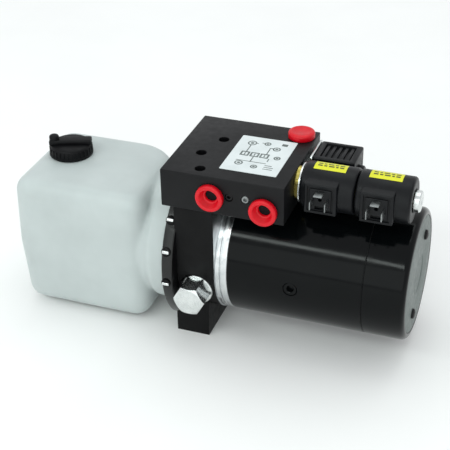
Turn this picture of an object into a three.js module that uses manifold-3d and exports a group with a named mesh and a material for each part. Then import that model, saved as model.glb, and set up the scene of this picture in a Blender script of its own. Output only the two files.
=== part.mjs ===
// Hydraulic power unit: oil tank, centre manifold with gear pump, direct-current motor,
// and a valve block with three solenoid coils.
//
// Frame, in millimetres: the origin is the middle of the foot's underside, +X runs along the
// pump and motor axis towards the motor's end face, -Y is the front with the two work ports,
// and +Z is up.

import * as THREE from 'three';
import { mergeVertices } from 'three/addons/utils/BufferGeometryUtils.js';
import Module from 'manifold-3d';

const wasm = await Module();
wasm.setup();

// ---------------------------------------------------------------- driving dimensions

const MOTOR_R = 57;           // motor shell outside radius
const MOTOR_L = 116.5;        // shell length, bracket to end cover
const END_COVER_L = 35.7;     // end cover length
const SHELL_T = 4;            // wall of the shell and of the end cover
const BRACKET_L = 10.5;       // drive-end bracket width seen between manifold and shell

const FLANGE_RIM = 11.3;      // manifold flange beyond the tank's neck
const FOOT_CLEAR = 1.18;      // flange above the foot's underside
const FLANGE_X0 = -18;
const FLANGE_L = 9.5;
const BODY_X1 = 25;           // motor side of the manifold
const BODY_PROUD = 1;         // manifold beyond the motor, on each side
const FOOT_HALF_X = 15;
const FOOT_HALF_Y = 47.5;
const FOOT_H = 36;
const FOOT_HOLE = { y: 34, radius: 4.2, depth: 16 };
const RIM_SCREW_R = 2.5;
const RIM_SCREWS_A_SIDE = 3;
const RIM_FIRST = -5;         // degrees above the middle, for the lowest screw of each side
const RIM_STEP = 22.5;

const BLOCK_L = 106;          // valve block along X
const BLOCK_W = 104;          // valve block along Y
const BLOCK_H = 34;
const BLOCK_X0 = -19.5;
const BLOCK_PROUD = 1.5;      // block's front ahead of the manifold
const BLOCK_OVER_MOTOR = 5.5;
const BLOCK_OVER_NECK = 3;

const TANK_L = 126.5;
const TANK_W = 111;
const TANK_H = 126;
const TANK_X1 = -40;          // tank wall on the manifold side
const TANK_DROP = 68;         // tank's underside below the axis
const TANK_WALL = 3;
const TANK_EDGE_R = 13;
const TANK_LEFT_R = 14.5;     // upright corners away from the manifold
const TANK_FRONT_R = 16;      // upright corner at the front, beside the manifold
const TANK_BACK_R = 44;       // upright corner at the back, beside the manifold
const UPPER_DRAFT = 0.02;     // narrowing of each half away from the parting line,
const LOWER_DRAFT = 0.06;     // as a share of the half width
const NECK_FLARE = 4;         // neck's growth outside the tank wall

const CAP_X = -136;
const CAP_Y = 8;
const CAP_R = 19.5;
const CAP_SKIRT_H = 10.5;
const WING_W = 11;            // grip bar across the cap
const WING_H = 3.5;
const WING_TURN = Math.PI / 9;
const VENT_R = 4.5;           // round vent at one end of the grip bar
const VENT_H = 4.5;
const MOUTH_R = 14.5;         // filler mouth, outside the thread
const MOUTH_H = 6.5;

const COIL_R = 19.3;
const COIL_L = 45;
const COIL_PITCH = 45.8;
const COIL_GAP = 5.7;         // first coil beyond the block
const FRONT_VALVE_UP = 19.5;  // valve axes above the block's underside
const REAR_VALVE_UP = 11.5;
const REAR_COIL = { length: 36, halfWidth: 16, up: 19, clear: 2, gap: 4.5, recess: 4 };
const VALVE_HEX = 27;         // across flats of the cartridge collars
const VALVE_TUBE_R = 7;
const VALVE_BORE_R = 3.9;
const FRONT_CARTRIDGE_R = 9.5;
const REAR_CARTRIDGE_R = 8.5;
const PLATE_T = 1.6;          // zinc plates between the coils and the block
const COIL_WASHER_R = 17.5;
const SOCKET_W = 27;          // square face of a coil's plug socket
const SOCKET_AT = 19;         // socket's middle from the coil's near end
const SOCKET_REACH = 23;      // socket face ahead of the coil's axis
const BLADE = { reach: 8, half: 0.5, spread: 6.2, length: 7, earthHalf: 3.5, earthUp: 6.5 };

const PORT_R = 9.5;
const PORT_PLUG_R = 11.8;
const PORT_PLUG_DEPTH = 14;
const PORT_PLUG_HEAD = 5;
const PORT_PLUG_MOUTH_R = 8.5; // funnel in the plug's head, and the blind hole behind it
const PORT_PLUG_FUNNEL = 6;
const PORT_PLUG_HOLE_R = 5.2;
const LEFT_PORT_UP = 15.7;    // port centres above the block's underside
const RIGHT_PORT_UP = 10.5;

const TOP_PORT_R = 8;
const TOP_PLUG_R = 11.5;
const TOP_PLUG_H = 6;
const SCREW_HEAD_R = 4.2;
const SCREW_SHANK_R = 2.5;
const SCREW_SUNK = 6;         // head top below the block's top face
const COUNTERBORE = 12;
const PILOT_R = 3.2;

const HEX_PLUG = { x: 8, z: 54, acrossFlats: 24.5, collarR: 14.5, collarL: 6, out: 25 };
const RELIEF_BORE_R = 8.3;
const SPOTFACE = 6;           // depth of the hex plug's seat below the manifold's side

const GEAR_TEETH = 16;
const GEAR_MODULE = 1.5;
const GEAR_W = 21;
const PUMP_SHAFT_R = 6;
const BACKLASH = 0.3;         // thinning of each tooth at the pitch circle
const PUMP_HALF_W = 24;
const PUMP_MARGIN = 20;       // housing beyond the two gear centres
const PUMP_CLEAR = 2.4;       // pump's corners inside the tank's neck

const FIT = 0.3;              // running and seating clearance between two pieces
const TOUCH = 0.05;           // clearance where two flat faces rest on each other
const ROUND = 32;             // facets of the large round pieces
const SMALL_ROUND = 16;       // facets of the small round pieces
const TINY_ROUND = 10;        // facets of screws and plugs

// ---------------------------------------------------------------- derived places

const GEAR_R = GEAR_MODULE * GEAR_TEETH / 2;
const GEAR_TIP_R = GEAR_R + 0.9 * GEAR_MODULE;
const GEAR_ROOT_R = GEAR_R - 1.25 * GEAR_MODULE;
const IDLER_DROP = 2 * GEAR_R;
const PUMP_REACH = Math.hypot(PUMP_HALF_W, IDLER_DROP + PUMP_MARGIN);
const NECK_BORE = PUMP_REACH + PUMP_CLEAR + NECK_FLARE;
const NECK_R = NECK_BORE + TANK_WALL;
const FLANGE_R = NECK_R + FLANGE_RIM;
const AXIS_H = FLANGE_R + FOOT_CLEAR;
const TANK_Z0 = AXIS_H - TANK_DROP;
const BODY_HALF = MOTOR_R + BODY_PROUD;
const BRACKET_X0 = BODY_X1 + TOUCH;
const SHELL_X0 = BRACKET_X0 + BRACKET_L + TOUCH;
const COVER_X0 = SHELL_X0 + MOTOR_L + TOUCH;
const MOTOR_X1 = COVER_X0 + END_COVER_L;
const SHELL_BORE = MOTOR_R - SHELL_T;
const BLOCK_X1 = BLOCK_X0 + BLOCK_L;
const BLOCK_Y0 = -BODY_HALF - BLOCK_PROUD;
const BLOCK_Z0 = AXIS_H + Math.max(MOTOR_R + BLOCK_OVER_MOTOR, NECK_R + BLOCK_OVER_NECK);
const BLOCK_Y1 = BLOCK_Y0 + BLOCK_W;
const BLOCK_TOP = BLOCK_Z0 + BLOCK_H;
const TANK_X0 = TANK_X1 - TANK_L;
const TANK_TOP = TANK_Z0 + TANK_H;
const RECESS_R = NECK_R + FIT;
const SPIGOT_R = NECK_BORE - FIT;
const SPIGOT_X0 = FLANGE_X0 - 7;
const RECESS_X1 = FLANGE_X0 + 7;
const NECK_X1 = RECESS_X1 - FIT;
const PUMP_X1 = SPIGOT_X0 - TOUCH;
const PUMP_X0 = PUMP_X1 - GEAR_W - 2 * FIT;
const PUMP_COVER_X1 = PUMP_X0 - TOUCH;
const PUMP_COVER_X0 = PUMP_COVER_X1 - 13;
const COIL_1_X0 = BLOCK_X1 + COIL_GAP;
const COIL_2_X0 = COIL_1_X0 + COIL_PITCH;
const COIL_ROW_X1 = COIL_2_X0 + COIL_L;
const FRONT_VALVE = { y: BLOCK_Y0 + 39.5, z: BLOCK_Z0 + FRONT_VALVE_UP };
const REAR_COIL_DOWN = REAR_VALVE_UP + BLOCK_Z0 - AXIS_H - MOTOR_R - REAR_COIL.clear;
const REAR_VALVE = { y: BLOCK_Y0 + 80.5, z: BLOCK_Z0 + REAR_VALVE_UP };
const LEFT_PORT = { x: BLOCK_X0 + 43.5, z: BLOCK_Z0 + LEFT_PORT_UP };
const RIGHT_PORT = { x: BLOCK_X0 + 89, z: BLOCK_Z0 + RIGHT_PORT_UP };
const TOP_PORT = { x: BLOCK_X0 + 93.3, y: BLOCK_Y0 + 90.5 };

// ---------------------------------------------------------------- solids

function toSolid(geometry) {
  const bare = geometry.clone();
  bare.deleteAttribute('normal');
  bare.deleteAttribute('uv');
  const merged = mergeVertices(bare, 1e-4);
  const corners = merged.index.array;
  const kept = [];
  for (let i = 0; i < corners.length; i += 3) {
    const [a, b, c] = corners.slice(i, i + 3);
    if (a !== b && b !== c && c !== a) {
      kept.push(a, b, c);
    }
  }
  const vertProperties = new Float32Array(merged.attributes.position.array);
  const triVerts = new Uint32Array(kept);
  return new wasm.Manifold(new wasm.Mesh({ numProp: 3, vertProperties, triVerts }));
}

function toGeometry(solid) {
  const mesh = solid.getMesh();
  const geometry = new THREE.BufferGeometry();
  geometry.setAttribute('position', new THREE.BufferAttribute(mesh.vertProperties, 3));
  geometry.setIndex(new THREE.BufferAttribute(mesh.triVerts, 1));
  geometry.computeVertexNormals();
  return geometry;
}

function join(first, ...others) {
  return toGeometry(others.reduce((sum, other) => sum.add(toSolid(other)), toSolid(first)));
}

function cut(first, ...tools) {
  return toGeometry(tools.reduce((rest, tool) => rest.subtract(toSolid(tool)), toSolid(first)));
}

// Solid of revolution about +X from [x, radius] points, closed along the axis or on itself.
function turned(points, facets = ROUND) {
  const profile = points.map(([x, radius]) => new THREE.Vector2(radius, x));
  if (THREE.ShapeUtils.area(profile) < 0) {
    profile.reverse();
  }
  const closed = profile.some((point) => point.x > 0 && point === profile[0]);
  if (closed) {
    profile.push(profile[0].clone());
  }
  const geometry = new THREE.LatheGeometry(profile, facets);
  geometry.rotateZ(-Math.PI / 2);
  return toGeometry(toSolid(geometry));
}

function rod(x0, x1, radius, facets = SMALL_ROUND) {
  return turned([[x0, 0], [x0, radius], [x1, radius], [x1, 0]], facets);
}

// A faceted hole is drawn a little larger, so that its flats keep the stated radius.
const holeR = (radius, facets) => radius / Math.cos(Math.PI / facets);

function hole(x0, x1, radius, facets = SMALL_ROUND) {
  return rod(x0, x1, holeR(radius, facets), facets);
}

function ring(x0, x1, inner, outer, facets = ROUND) {
  const bore = holeR(inner, facets);
  return turned([[x0, bore], [x0, outer], [x1, outer], [x1, bore]], facets);
}

function box(x0, x1, y0, y1, z0, z1) {
  const geometry = new THREE.BoxGeometry(x1 - x0, y1 - y0, z1 - z0);
  return geometry.translate((x0 + x1) / 2, (y0 + y1) / 2, (z0 + z1) / 2);
}

// Prism along X: the shape's x and y become the object's Y and Z.
function prism(shape, x0, x1, curveSegments = 6) {
  const settings = { depth: x1 - x0, bevelEnabled: false, curveSegments };
  const geometry = new THREE.ExtrudeGeometry(shape, settings);
  geometry.rotateX(Math.PI / 2);
  geometry.rotateZ(Math.PI / 2);
  return geometry.translate(x0, 0, 0);
}

function hexShape(acrossFlats) {
  const shape = new THREE.Shape();
  for (let corner = 0; corner < 6; corner += 1) {
    const angle = corner * Math.PI / 3;
    const reach = acrossFlats / Math.sqrt(3);
    const point = [reach * Math.cos(angle), reach * Math.sin(angle)];
    if (corner === 0) {
      shape.moveTo(...point);
    } else {
      shape.lineTo(...point);
    }
  }
  shape.closePath();
  return shape;
}

// What is drawn along +X is turned to point forwards (-Y) or up (+Z).
const facingFront = (geometry) => geometry.rotateZ(-Math.PI / 2);
const facingUp = (geometry) => geometry.rotateY(-Math.PI / 2);
const onAxis = (geometry) => geometry.translate(0, 0, AXIS_H);

// ---------------------------------------------------------------- materials

const material = (color, roughness, metalness = 0) =>
  new THREE.MeshStandardMaterial({ color, roughness, metalness });

const looks = {
  tankPlastic: material(0xd9e0df, 0.45),
  capPlastic: material(0x1d1d20, 0.5),
  rubber: material(0x151515, 0.8),
  blackAnodised: material(0x2e2e30, 0.45, 0.4),
  zinc: material(0xcfd3d4, 0.28, 1),
  machinedAluminium: material(0xd5d9db, 0.3, 1),
  steel: material(0xb4b6b8, 0.35, 1),
  blackPaint: material(0x111214, 0.2),
  castIron: material(0x55585a, 0.6, 0.7),
  copper: material(0xb0683a, 0.35, 1),
  ferrite: material(0x2a2a2c, 0.7),
  carbon: material(0x1b1b1c, 0.7),
  redPlastic: material(0xd3122b, 0.4),
  coilPlastic: material(0x202124, 0.5),
  brass: material(0xb49a52, 0.3, 1),
  paper: material(0xdde4e1, 0.6),
  meshSteel: material(0x9da0a2, 0.5, 0.9),
};

const unit = new THREE.Group();

function addPiece(name, geometry, look) {
  const piece = new THREE.Mesh(geometry, look);
  piece.name = name;
  unit.add(piece);
  return piece;
}

// ---------------------------------------------------------------- tank

// Rectangle in X and Y: one corner radius at -X, and two at +X, at the front and at the back.
function tankOutline(x0, x1, halfWidth, leftR, frontR, backR) {
  const shape = new THREE.Shape();
  shape.moveTo(x0 + leftR, -halfWidth);
  shape.lineTo(x1 - frontR, -halfWidth);
  shape.absarc(x1 - frontR, -halfWidth + frontR, frontR, -Math.PI / 2, 0);
  shape.lineTo(x1, halfWidth - backR);
  shape.absarc(x1 - backR, halfWidth - backR, backR, 0, Math.PI / 2);
  shape.lineTo(x0 + leftR, halfWidth);
  shape.absarc(x0 + leftR, halfWidth - leftR, leftR, Math.PI / 2, Math.PI);
  shape.lineTo(x0, -halfWidth + leftR);
  shape.absarc(x0 + leftR, -halfWidth + leftR, leftR, Math.PI, 1.5 * Math.PI);
  return shape;
}

// Blow-moulded body, set in from the outer wall by `inset`; it tapers both ways from mid height.
function tankBody(inset) {
  const edge = TANK_EDGE_R - inset;
  const outline = tankOutline(
    TANK_X0 + TANK_EDGE_R, TANK_X1 - TANK_EDGE_R, TANK_W / 2 - TANK_EDGE_R,
    TANK_LEFT_R - TANK_EDGE_R, TANK_FRONT_R - TANK_EDGE_R, TANK_BACK_R - TANK_EDGE_R,
  );
  const geometry = new THREE.ExtrudeGeometry(outline, {
    depth: TANK_H - 2 * TANK_EDGE_R,
    steps: 2,
    bevelThickness: edge,
    bevelSize: edge,
    bevelSegments: 3,
    curveSegments: 4,
  });
  geometry.translate(0, 0, TANK_Z0 + TANK_EDGE_R);
  const middleX = (TANK_X0 + TANK_X1) / 2;
  const middleZ = TANK_Z0 + TANK_H / 2;
  const position = geometry.attributes.position;
  for (let i = 0; i < position.count; i += 1) {
    const away = (position.getZ(i) - middleZ) / (TANK_H / 2);
    const scale = 1 - (away > 0 ? UPPER_DRAFT : LOWER_DRAFT) * Math.abs(away);
    position.setX(i, middleX + (position.getX(i) - middleX) * scale);
    position.setY(i, position.getY(i) * scale);
  }
  return geometry;
}

function addTank() {
  const neckStart = TANK_X1 - 20;
  const throat = PUMP_REACH + FIT;
  const neck = onAxis(turned([
    [neckStart, 0], [neckStart, throat + TANK_WALL], [TANK_X1, NECK_R - NECK_FLARE],
    [TANK_X1 + 5, NECK_R], [NECK_X1, NECK_R], [NECK_X1, 0],
  ]));
  const neckBore = onAxis(turned([
    [neckStart - 5, 0], [neckStart - 5, throat], [TANK_X1, NECK_BORE - NECK_FLARE],
    [TANK_X1 + 5, NECK_BORE], [NECK_X1 + 1, NECK_BORE], [NECK_X1 + 1, 0],
  ]));
  const mouthAt = (geometry) => facingUp(geometry).translate(CAP_X, CAP_Y, 0);
  const mouth = mouthAt(rod(TANK_TOP - 2, TANK_TOP + MOUTH_H, MOUTH_R));
  const mouthBore = mouthAt(rod(TANK_TOP - 8, TANK_TOP + MOUTH_H + 1, MOUTH_R - TANK_WALL));
  const screwHoles = rimAngles.map((angle) => rimScrewTool(angle));
  const shell = cut(
    join(tankBody(0), neck, mouth), tankBody(TANK_WALL), neckBore, mouthBore, ...screwHoles,
  );
  addPiece('tank_shell', shell, looks.tankPlastic);

  const sealX = (FLANGE_X0 + SPIGOT_X0) / 2;
  const seal = ring(sealX - 1.2, sealX + 1.2, SPIGOT_R - 2, SPIGOT_R + 0.1);
  addPiece('tank_seal', onAxis(seal), looks.rubber);

  const capZ0 = TANK_TOP + FIT;
  const capTop = capZ0 + CAP_SKIRT_H;
  const skirt = mouthAt(turned([
    [capZ0, MOUTH_R + FIT], [capZ0, CAP_R], [capTop - 2, CAP_R], [capTop, CAP_R - 2],
    [capTop, 0], [TANK_TOP + MOUTH_H + 1.5, 0], [TANK_TOP + MOUTH_H + 1.5, MOUTH_R + FIT],
  ], SMALL_ROUND));
  const wing = box(-CAP_R + 0.5, CAP_R - 0.5, -WING_W / 2, WING_W / 2, capTop - 2, capTop + WING_H);
  const vent = facingUp(rod(capTop - 1, capTop + WING_H + VENT_H, VENT_R, TINY_ROUND));
  vent.translate(-CAP_R + VENT_R + 0.5, 0, 0);
  const grip = [wing, vent].map((geometry) => geometry.rotateZ(WING_TURN).translate(CAP_X, CAP_Y, 0));
  addPiece('filler_cap', join(skirt, ...grip), looks.capPlastic);
  const gasketZ = TANK_TOP + MOUTH_H + TOUCH;
  const gasket = mouthAt(ring(gasketZ, gasketZ + 1.3, MOUTH_R - TANK_WALL, MOUTH_R, SMALL_ROUND));
  addPiece('cap_gasket', gasket, looks.rubber);
}

// ---------------------------------------------------------------- rim screws

const rimAngles = [];
for (let i = 0; i < RIM_SCREWS_A_SIDE; i += 1) {
  const above = (RIM_FIRST + i * RIM_STEP) * Math.PI / 180;
  rimAngles.push(above, Math.PI - above);
}

// Places what is drawn along +X from the axis out to the rim, `angle` above the front.
function atRim(geometry, angle) {
  facingFront(geometry).rotateX(-angle);
  return onAxis(geometry.translate((FLANGE_X0 + RECESS_X1) / 2 + 0.5, 0, 0));
}

const rimScrewTool = (angle) =>
  atRim(hole(SPIGOT_R - 6.5, FLANGE_R + 5, RIM_SCREW_R + FIT, TINY_ROUND), angle);

function addRimScrews() {
  rimAngles.forEach((angle, i) => {
    const screw = turned([
      [SPIGOT_R - 6, 0], [SPIGOT_R - 6, RIM_SCREW_R], [FLANGE_R + FIT, RIM_SCREW_R],
      [FLANGE_R + FIT, 4.5], [FLANGE_R + 2.2, 4.2], [FLANGE_R + 3, 2.5], [FLANGE_R + 3, 0],
    ], TINY_ROUND);
    addPiece(`rim_screw_${i + 1}`, atRim(screw, angle), looks.zinc);
  });
}

// ---------------------------------------------------------------- manifold

const COUPLING_R = 13;

function addManifold() {
  const flangeX1 = FLANGE_X0 + FLANGE_L;
  const foot = box(-FOOT_HALF_X, FOOT_HALF_X, -FOOT_HALF_Y, FOOT_HALF_Y, 0, FOOT_H);
  const barrel = onAxis(rod(flangeX1 - 1, BODY_X1, BODY_HALF, ROUND));
  const head = box(flangeX1 - 1, BODY_X1, -BODY_HALF, BODY_HALF, AXIS_H, BLOCK_Z0 - TOUCH);
  const flange = onAxis(rod(FLANGE_X0, flangeX1, FLANGE_R));
  const spigot = onAxis(rod(SPIGOT_X0, RECESS_X1 + 1, SPIGOT_R, ROUND));
  const recess = onAxis(turned([
    [FLANGE_X0 - 1, SPIGOT_R], [FLANGE_X0 - 1, RECESS_R], [RECESS_X1, RECESS_R], [RECESS_X1, SPIGOT_R],
  ]));
  const topPlane = box(-60, 60, -90, 90, BLOCK_Z0 - TOUCH, BLOCK_Z0 + 40);
  const sealX = (FLANGE_X0 + SPIGOT_X0) / 2;
  const sealGroove = onAxis(ring(sealX - 1.5, sealX + 1.5, SPIGOT_R - 2.3, SPIGOT_R + 2));
  const shaftBore = onAxis(hole(SPIGOT_X0 - 1, BODY_X1 + 1, PUMP_SHAFT_R + FIT));
  const couplingPocket = onAxis(hole(4, BODY_X1 + 1, COUPLING_R + 3, SMALL_ROUND));
  const idlerBore = onAxis(hole(SPIGOT_X0 - 1, FLANGE_X0 + 8, PUMP_SHAFT_R + FIT));
  idlerBore.translate(0, 0, -IDLER_DROP);
  const plugAt = (geometry) => facingFront(geometry).translate(HEX_PLUG.x, 0, HEX_PLUG.z);
  const reliefBore = plugAt(hole(26, BODY_HALF + 9, RELIEF_BORE_R));
  const spotface = plugAt(hole(BODY_HALF - SPOTFACE, BODY_HALF + 9, HEX_PLUG.collarR + 1));
  const footHoles = [-1, 1].map((side) =>
    facingUp(hole(-1, FOOT_HOLE.depth, FOOT_HOLE.radius, TINY_ROUND)).translate(0, side * FOOT_HOLE.y, 0));
  const blockScrewHoles = blockScrews.map(({ x, y }) =>
    facingUp(hole(BLOCK_Z0 - 16, BLOCK_Z0 + 1, SCREW_SHANK_R + FIT, TINY_ROUND)).translate(x, y, 0));
  const screwHoles = rimAngles.map((angle) => rimScrewTool(angle));
  const body = cut(
    join(flange, barrel, head, foot, spigot),
    recess, topPlane, sealGroove, shaftBore, couplingPocket, idlerBore, spotface, reliefBore,
    ...footHoles, ...blockScrewHoles, ...screwHoles,
  );
  addPiece('manifold_body', body, looks.blackAnodised);

  const seat = BODY_HALF - SPOTFACE + TOUCH;
  const collar = rod(seat, seat + HEX_PLUG.collarL, HEX_PLUG.collarR);
  const shank = rod(seat - 14, seat, RELIEF_BORE_R - FIT);
  const hex = prism(hexShape(HEX_PLUG.acrossFlats), seat + HEX_PLUG.collarL - 1, seat + HEX_PLUG.out);
  addPiece('hex_plug', plugAt(join(shank, collar, hex)), looks.zinc);
  const poppet = turned([[27.5, 0], [30, 4], [30, 7.6], [36, 7.6], [36, 0]], SMALL_ROUND);
  addPiece('relief_poppet', plugAt(poppet), looks.steel);
}

// ---------------------------------------------------------------- gear pump

// Involute spur gear in its own plane, thinned by the backlash, first tooth along +x.
function gearShape() {
  const baseR = GEAR_R * Math.cos(20 * Math.PI / 180);
  const involute = (radius) => {
    const turn = Math.sqrt((radius / baseR) ** 2 - 1);
    return turn - Math.atan(turn);
  };
  const halfAtPitch = (Math.PI * GEAR_MODULE / 2 - BACKLASH) / 2 / GEAR_R;
  const flank = [];
  for (let step = 0; step <= 2; step += 1) {
    const radius = baseR + (GEAR_TIP_R - baseR) * step / 2;
    flank.push([radius, halfAtPitch + involute(GEAR_R) - involute(radius)]);
  }
  flank.unshift([GEAR_ROOT_R, flank[0][1]]);
  const shape = new THREE.Shape();
  for (let tooth = 0; tooth < GEAR_TEETH; tooth += 1) {
    const middle = tooth * 2 * Math.PI / GEAR_TEETH;
    const rising = flank.map(([radius, half]) => [radius, middle - half]);
    const falling = flank.map(([radius, half]) => [radius, middle + half]).reverse();
    for (const [radius, angle] of [...rising, ...falling]) {
      const point = [radius * Math.cos(angle), radius * Math.sin(angle)];
      if (shape.curves.length === 0 && tooth === 0 && radius === GEAR_ROOT_R && angle < middle) {
        shape.moveTo(...point);
      } else {
        shape.lineTo(...point);
      }
    }
  }
  shape.closePath();
  return shape;
}

const STRAINER = { radius: 15, bottom: 12, top: 24 };

function addPump() {
  const gearX0 = PUMP_X0 + FIT;
  const shaftEnd = PUMP_COVER_X0 + 4;
  const gear = () => prism(gearShape(), gearX0, gearX0 + GEAR_W);
  const driveShaft = rod(shaftEnd, DRIVE_SHAFT_X1, PUMP_SHAFT_R);
  addPiece('drive_gear', onAxis(join(gear(), driveShaft)), looks.steel);
  const idlerShaft = rod(shaftEnd, FLANGE_X0 + 7, PUMP_SHAFT_R);
  const halfPitch = Math.PI / GEAR_TEETH;
  const idler = join(gear().rotateX(halfPitch), idlerShaft);
  addPiece('driven_gear', onAxis(idler).translate(0, 0, -IDLER_DROP), looks.steel);

  const outline = (x0, x1) =>
    box(x0, x1, -PUMP_HALF_W, PUMP_HALF_W, AXIS_H - IDLER_DROP - PUMP_MARGIN, AXIS_H + PUMP_MARGIN);
  const pockets = [0, -IDLER_DROP].map((drop) =>
    onAxis(hole(PUMP_X0 - 1, PUMP_X1 + 1, GEAR_TIP_R + FIT, SMALL_ROUND)).translate(0, 0, drop));
  const meshZ = AXIS_H - IDLER_DROP / 2;
  const gallery = box(PUMP_X0 + 6, PUMP_X1 - 6, -PUMP_HALF_W - 1, PUMP_HALF_W + 1, meshZ - 5, meshZ + 5);
  const housing = cut(outline(PUMP_X0, PUMP_X1), ...pockets, gallery);
  addPiece('pump_housing', housing, looks.machinedAluminium);
  const bores = [0, -IDLER_DROP].map((drop) =>
    onAxis(hole(shaftEnd - 1, PUMP_COVER_X1 + 1, PUMP_SHAFT_R + FIT)).translate(0, 0, drop));
  addPiece('pump_cover', cut(outline(PUMP_COVER_X0, PUMP_COVER_X1), ...bores), looks.castIron);

  const suctionX = (PUMP_X0 + PUMP_X1) / 2;
  const suctionY = -PUMP_HALF_W - TOUCH;
  const route = new THREE.CurvePath();
  const knee = new THREE.Vector3(suctionX - 16, suctionY - 6, meshZ);
  const start = new THREE.Vector3(suctionX, suctionY, meshZ);
  const down = new THREE.Vector3(suctionX - 32, knee.y, STRAINER.top + 0.5);
  route.add(new THREE.QuadraticBezierCurve3(start, new THREE.Vector3(suctionX, knee.y, meshZ), knee));
  route.add(new THREE.QuadraticBezierCurve3(knee, new THREE.Vector3(down.x, knee.y, meshZ), down));
  const section = new THREE.Shape().absarc(0, 0, 4.5, 0, 2 * Math.PI);
  const tube = new THREE.ExtrudeGeometry(section, { steps: 10, extrudePath: route, curveSegments: 5 });
  addPiece('suction_tube', toGeometry(toSolid(tube)), looks.capPlastic);
  const strainer = facingUp(rod(STRAINER.bottom, STRAINER.top, STRAINER.radius));
  addPiece('suction_strainer', strainer.translate(down.x, down.y, 0), looks.meshSteel);
}

// ---------------------------------------------------------------- motor

const BEARING_R = 16;
const SHAFT_R = 8;
const DRIVE_SHAFT_X1 = 17;
const CORE_R = 35;
const CORE_X0 = 62;
const CORE_L = 70;
const COMMUTATOR_R = 18;
const COMMUTATOR_L = 22;
const BRUSH_L = 18;
const BRUSH_TRAVEL = 5;       // free length behind a new brush
const BRUSH_SCREW = { y: 16.9, z: 29.4, radius: 2.5 };
const POLE_X = 91.5;
const POLE_HOLE_R = 6;

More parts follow.
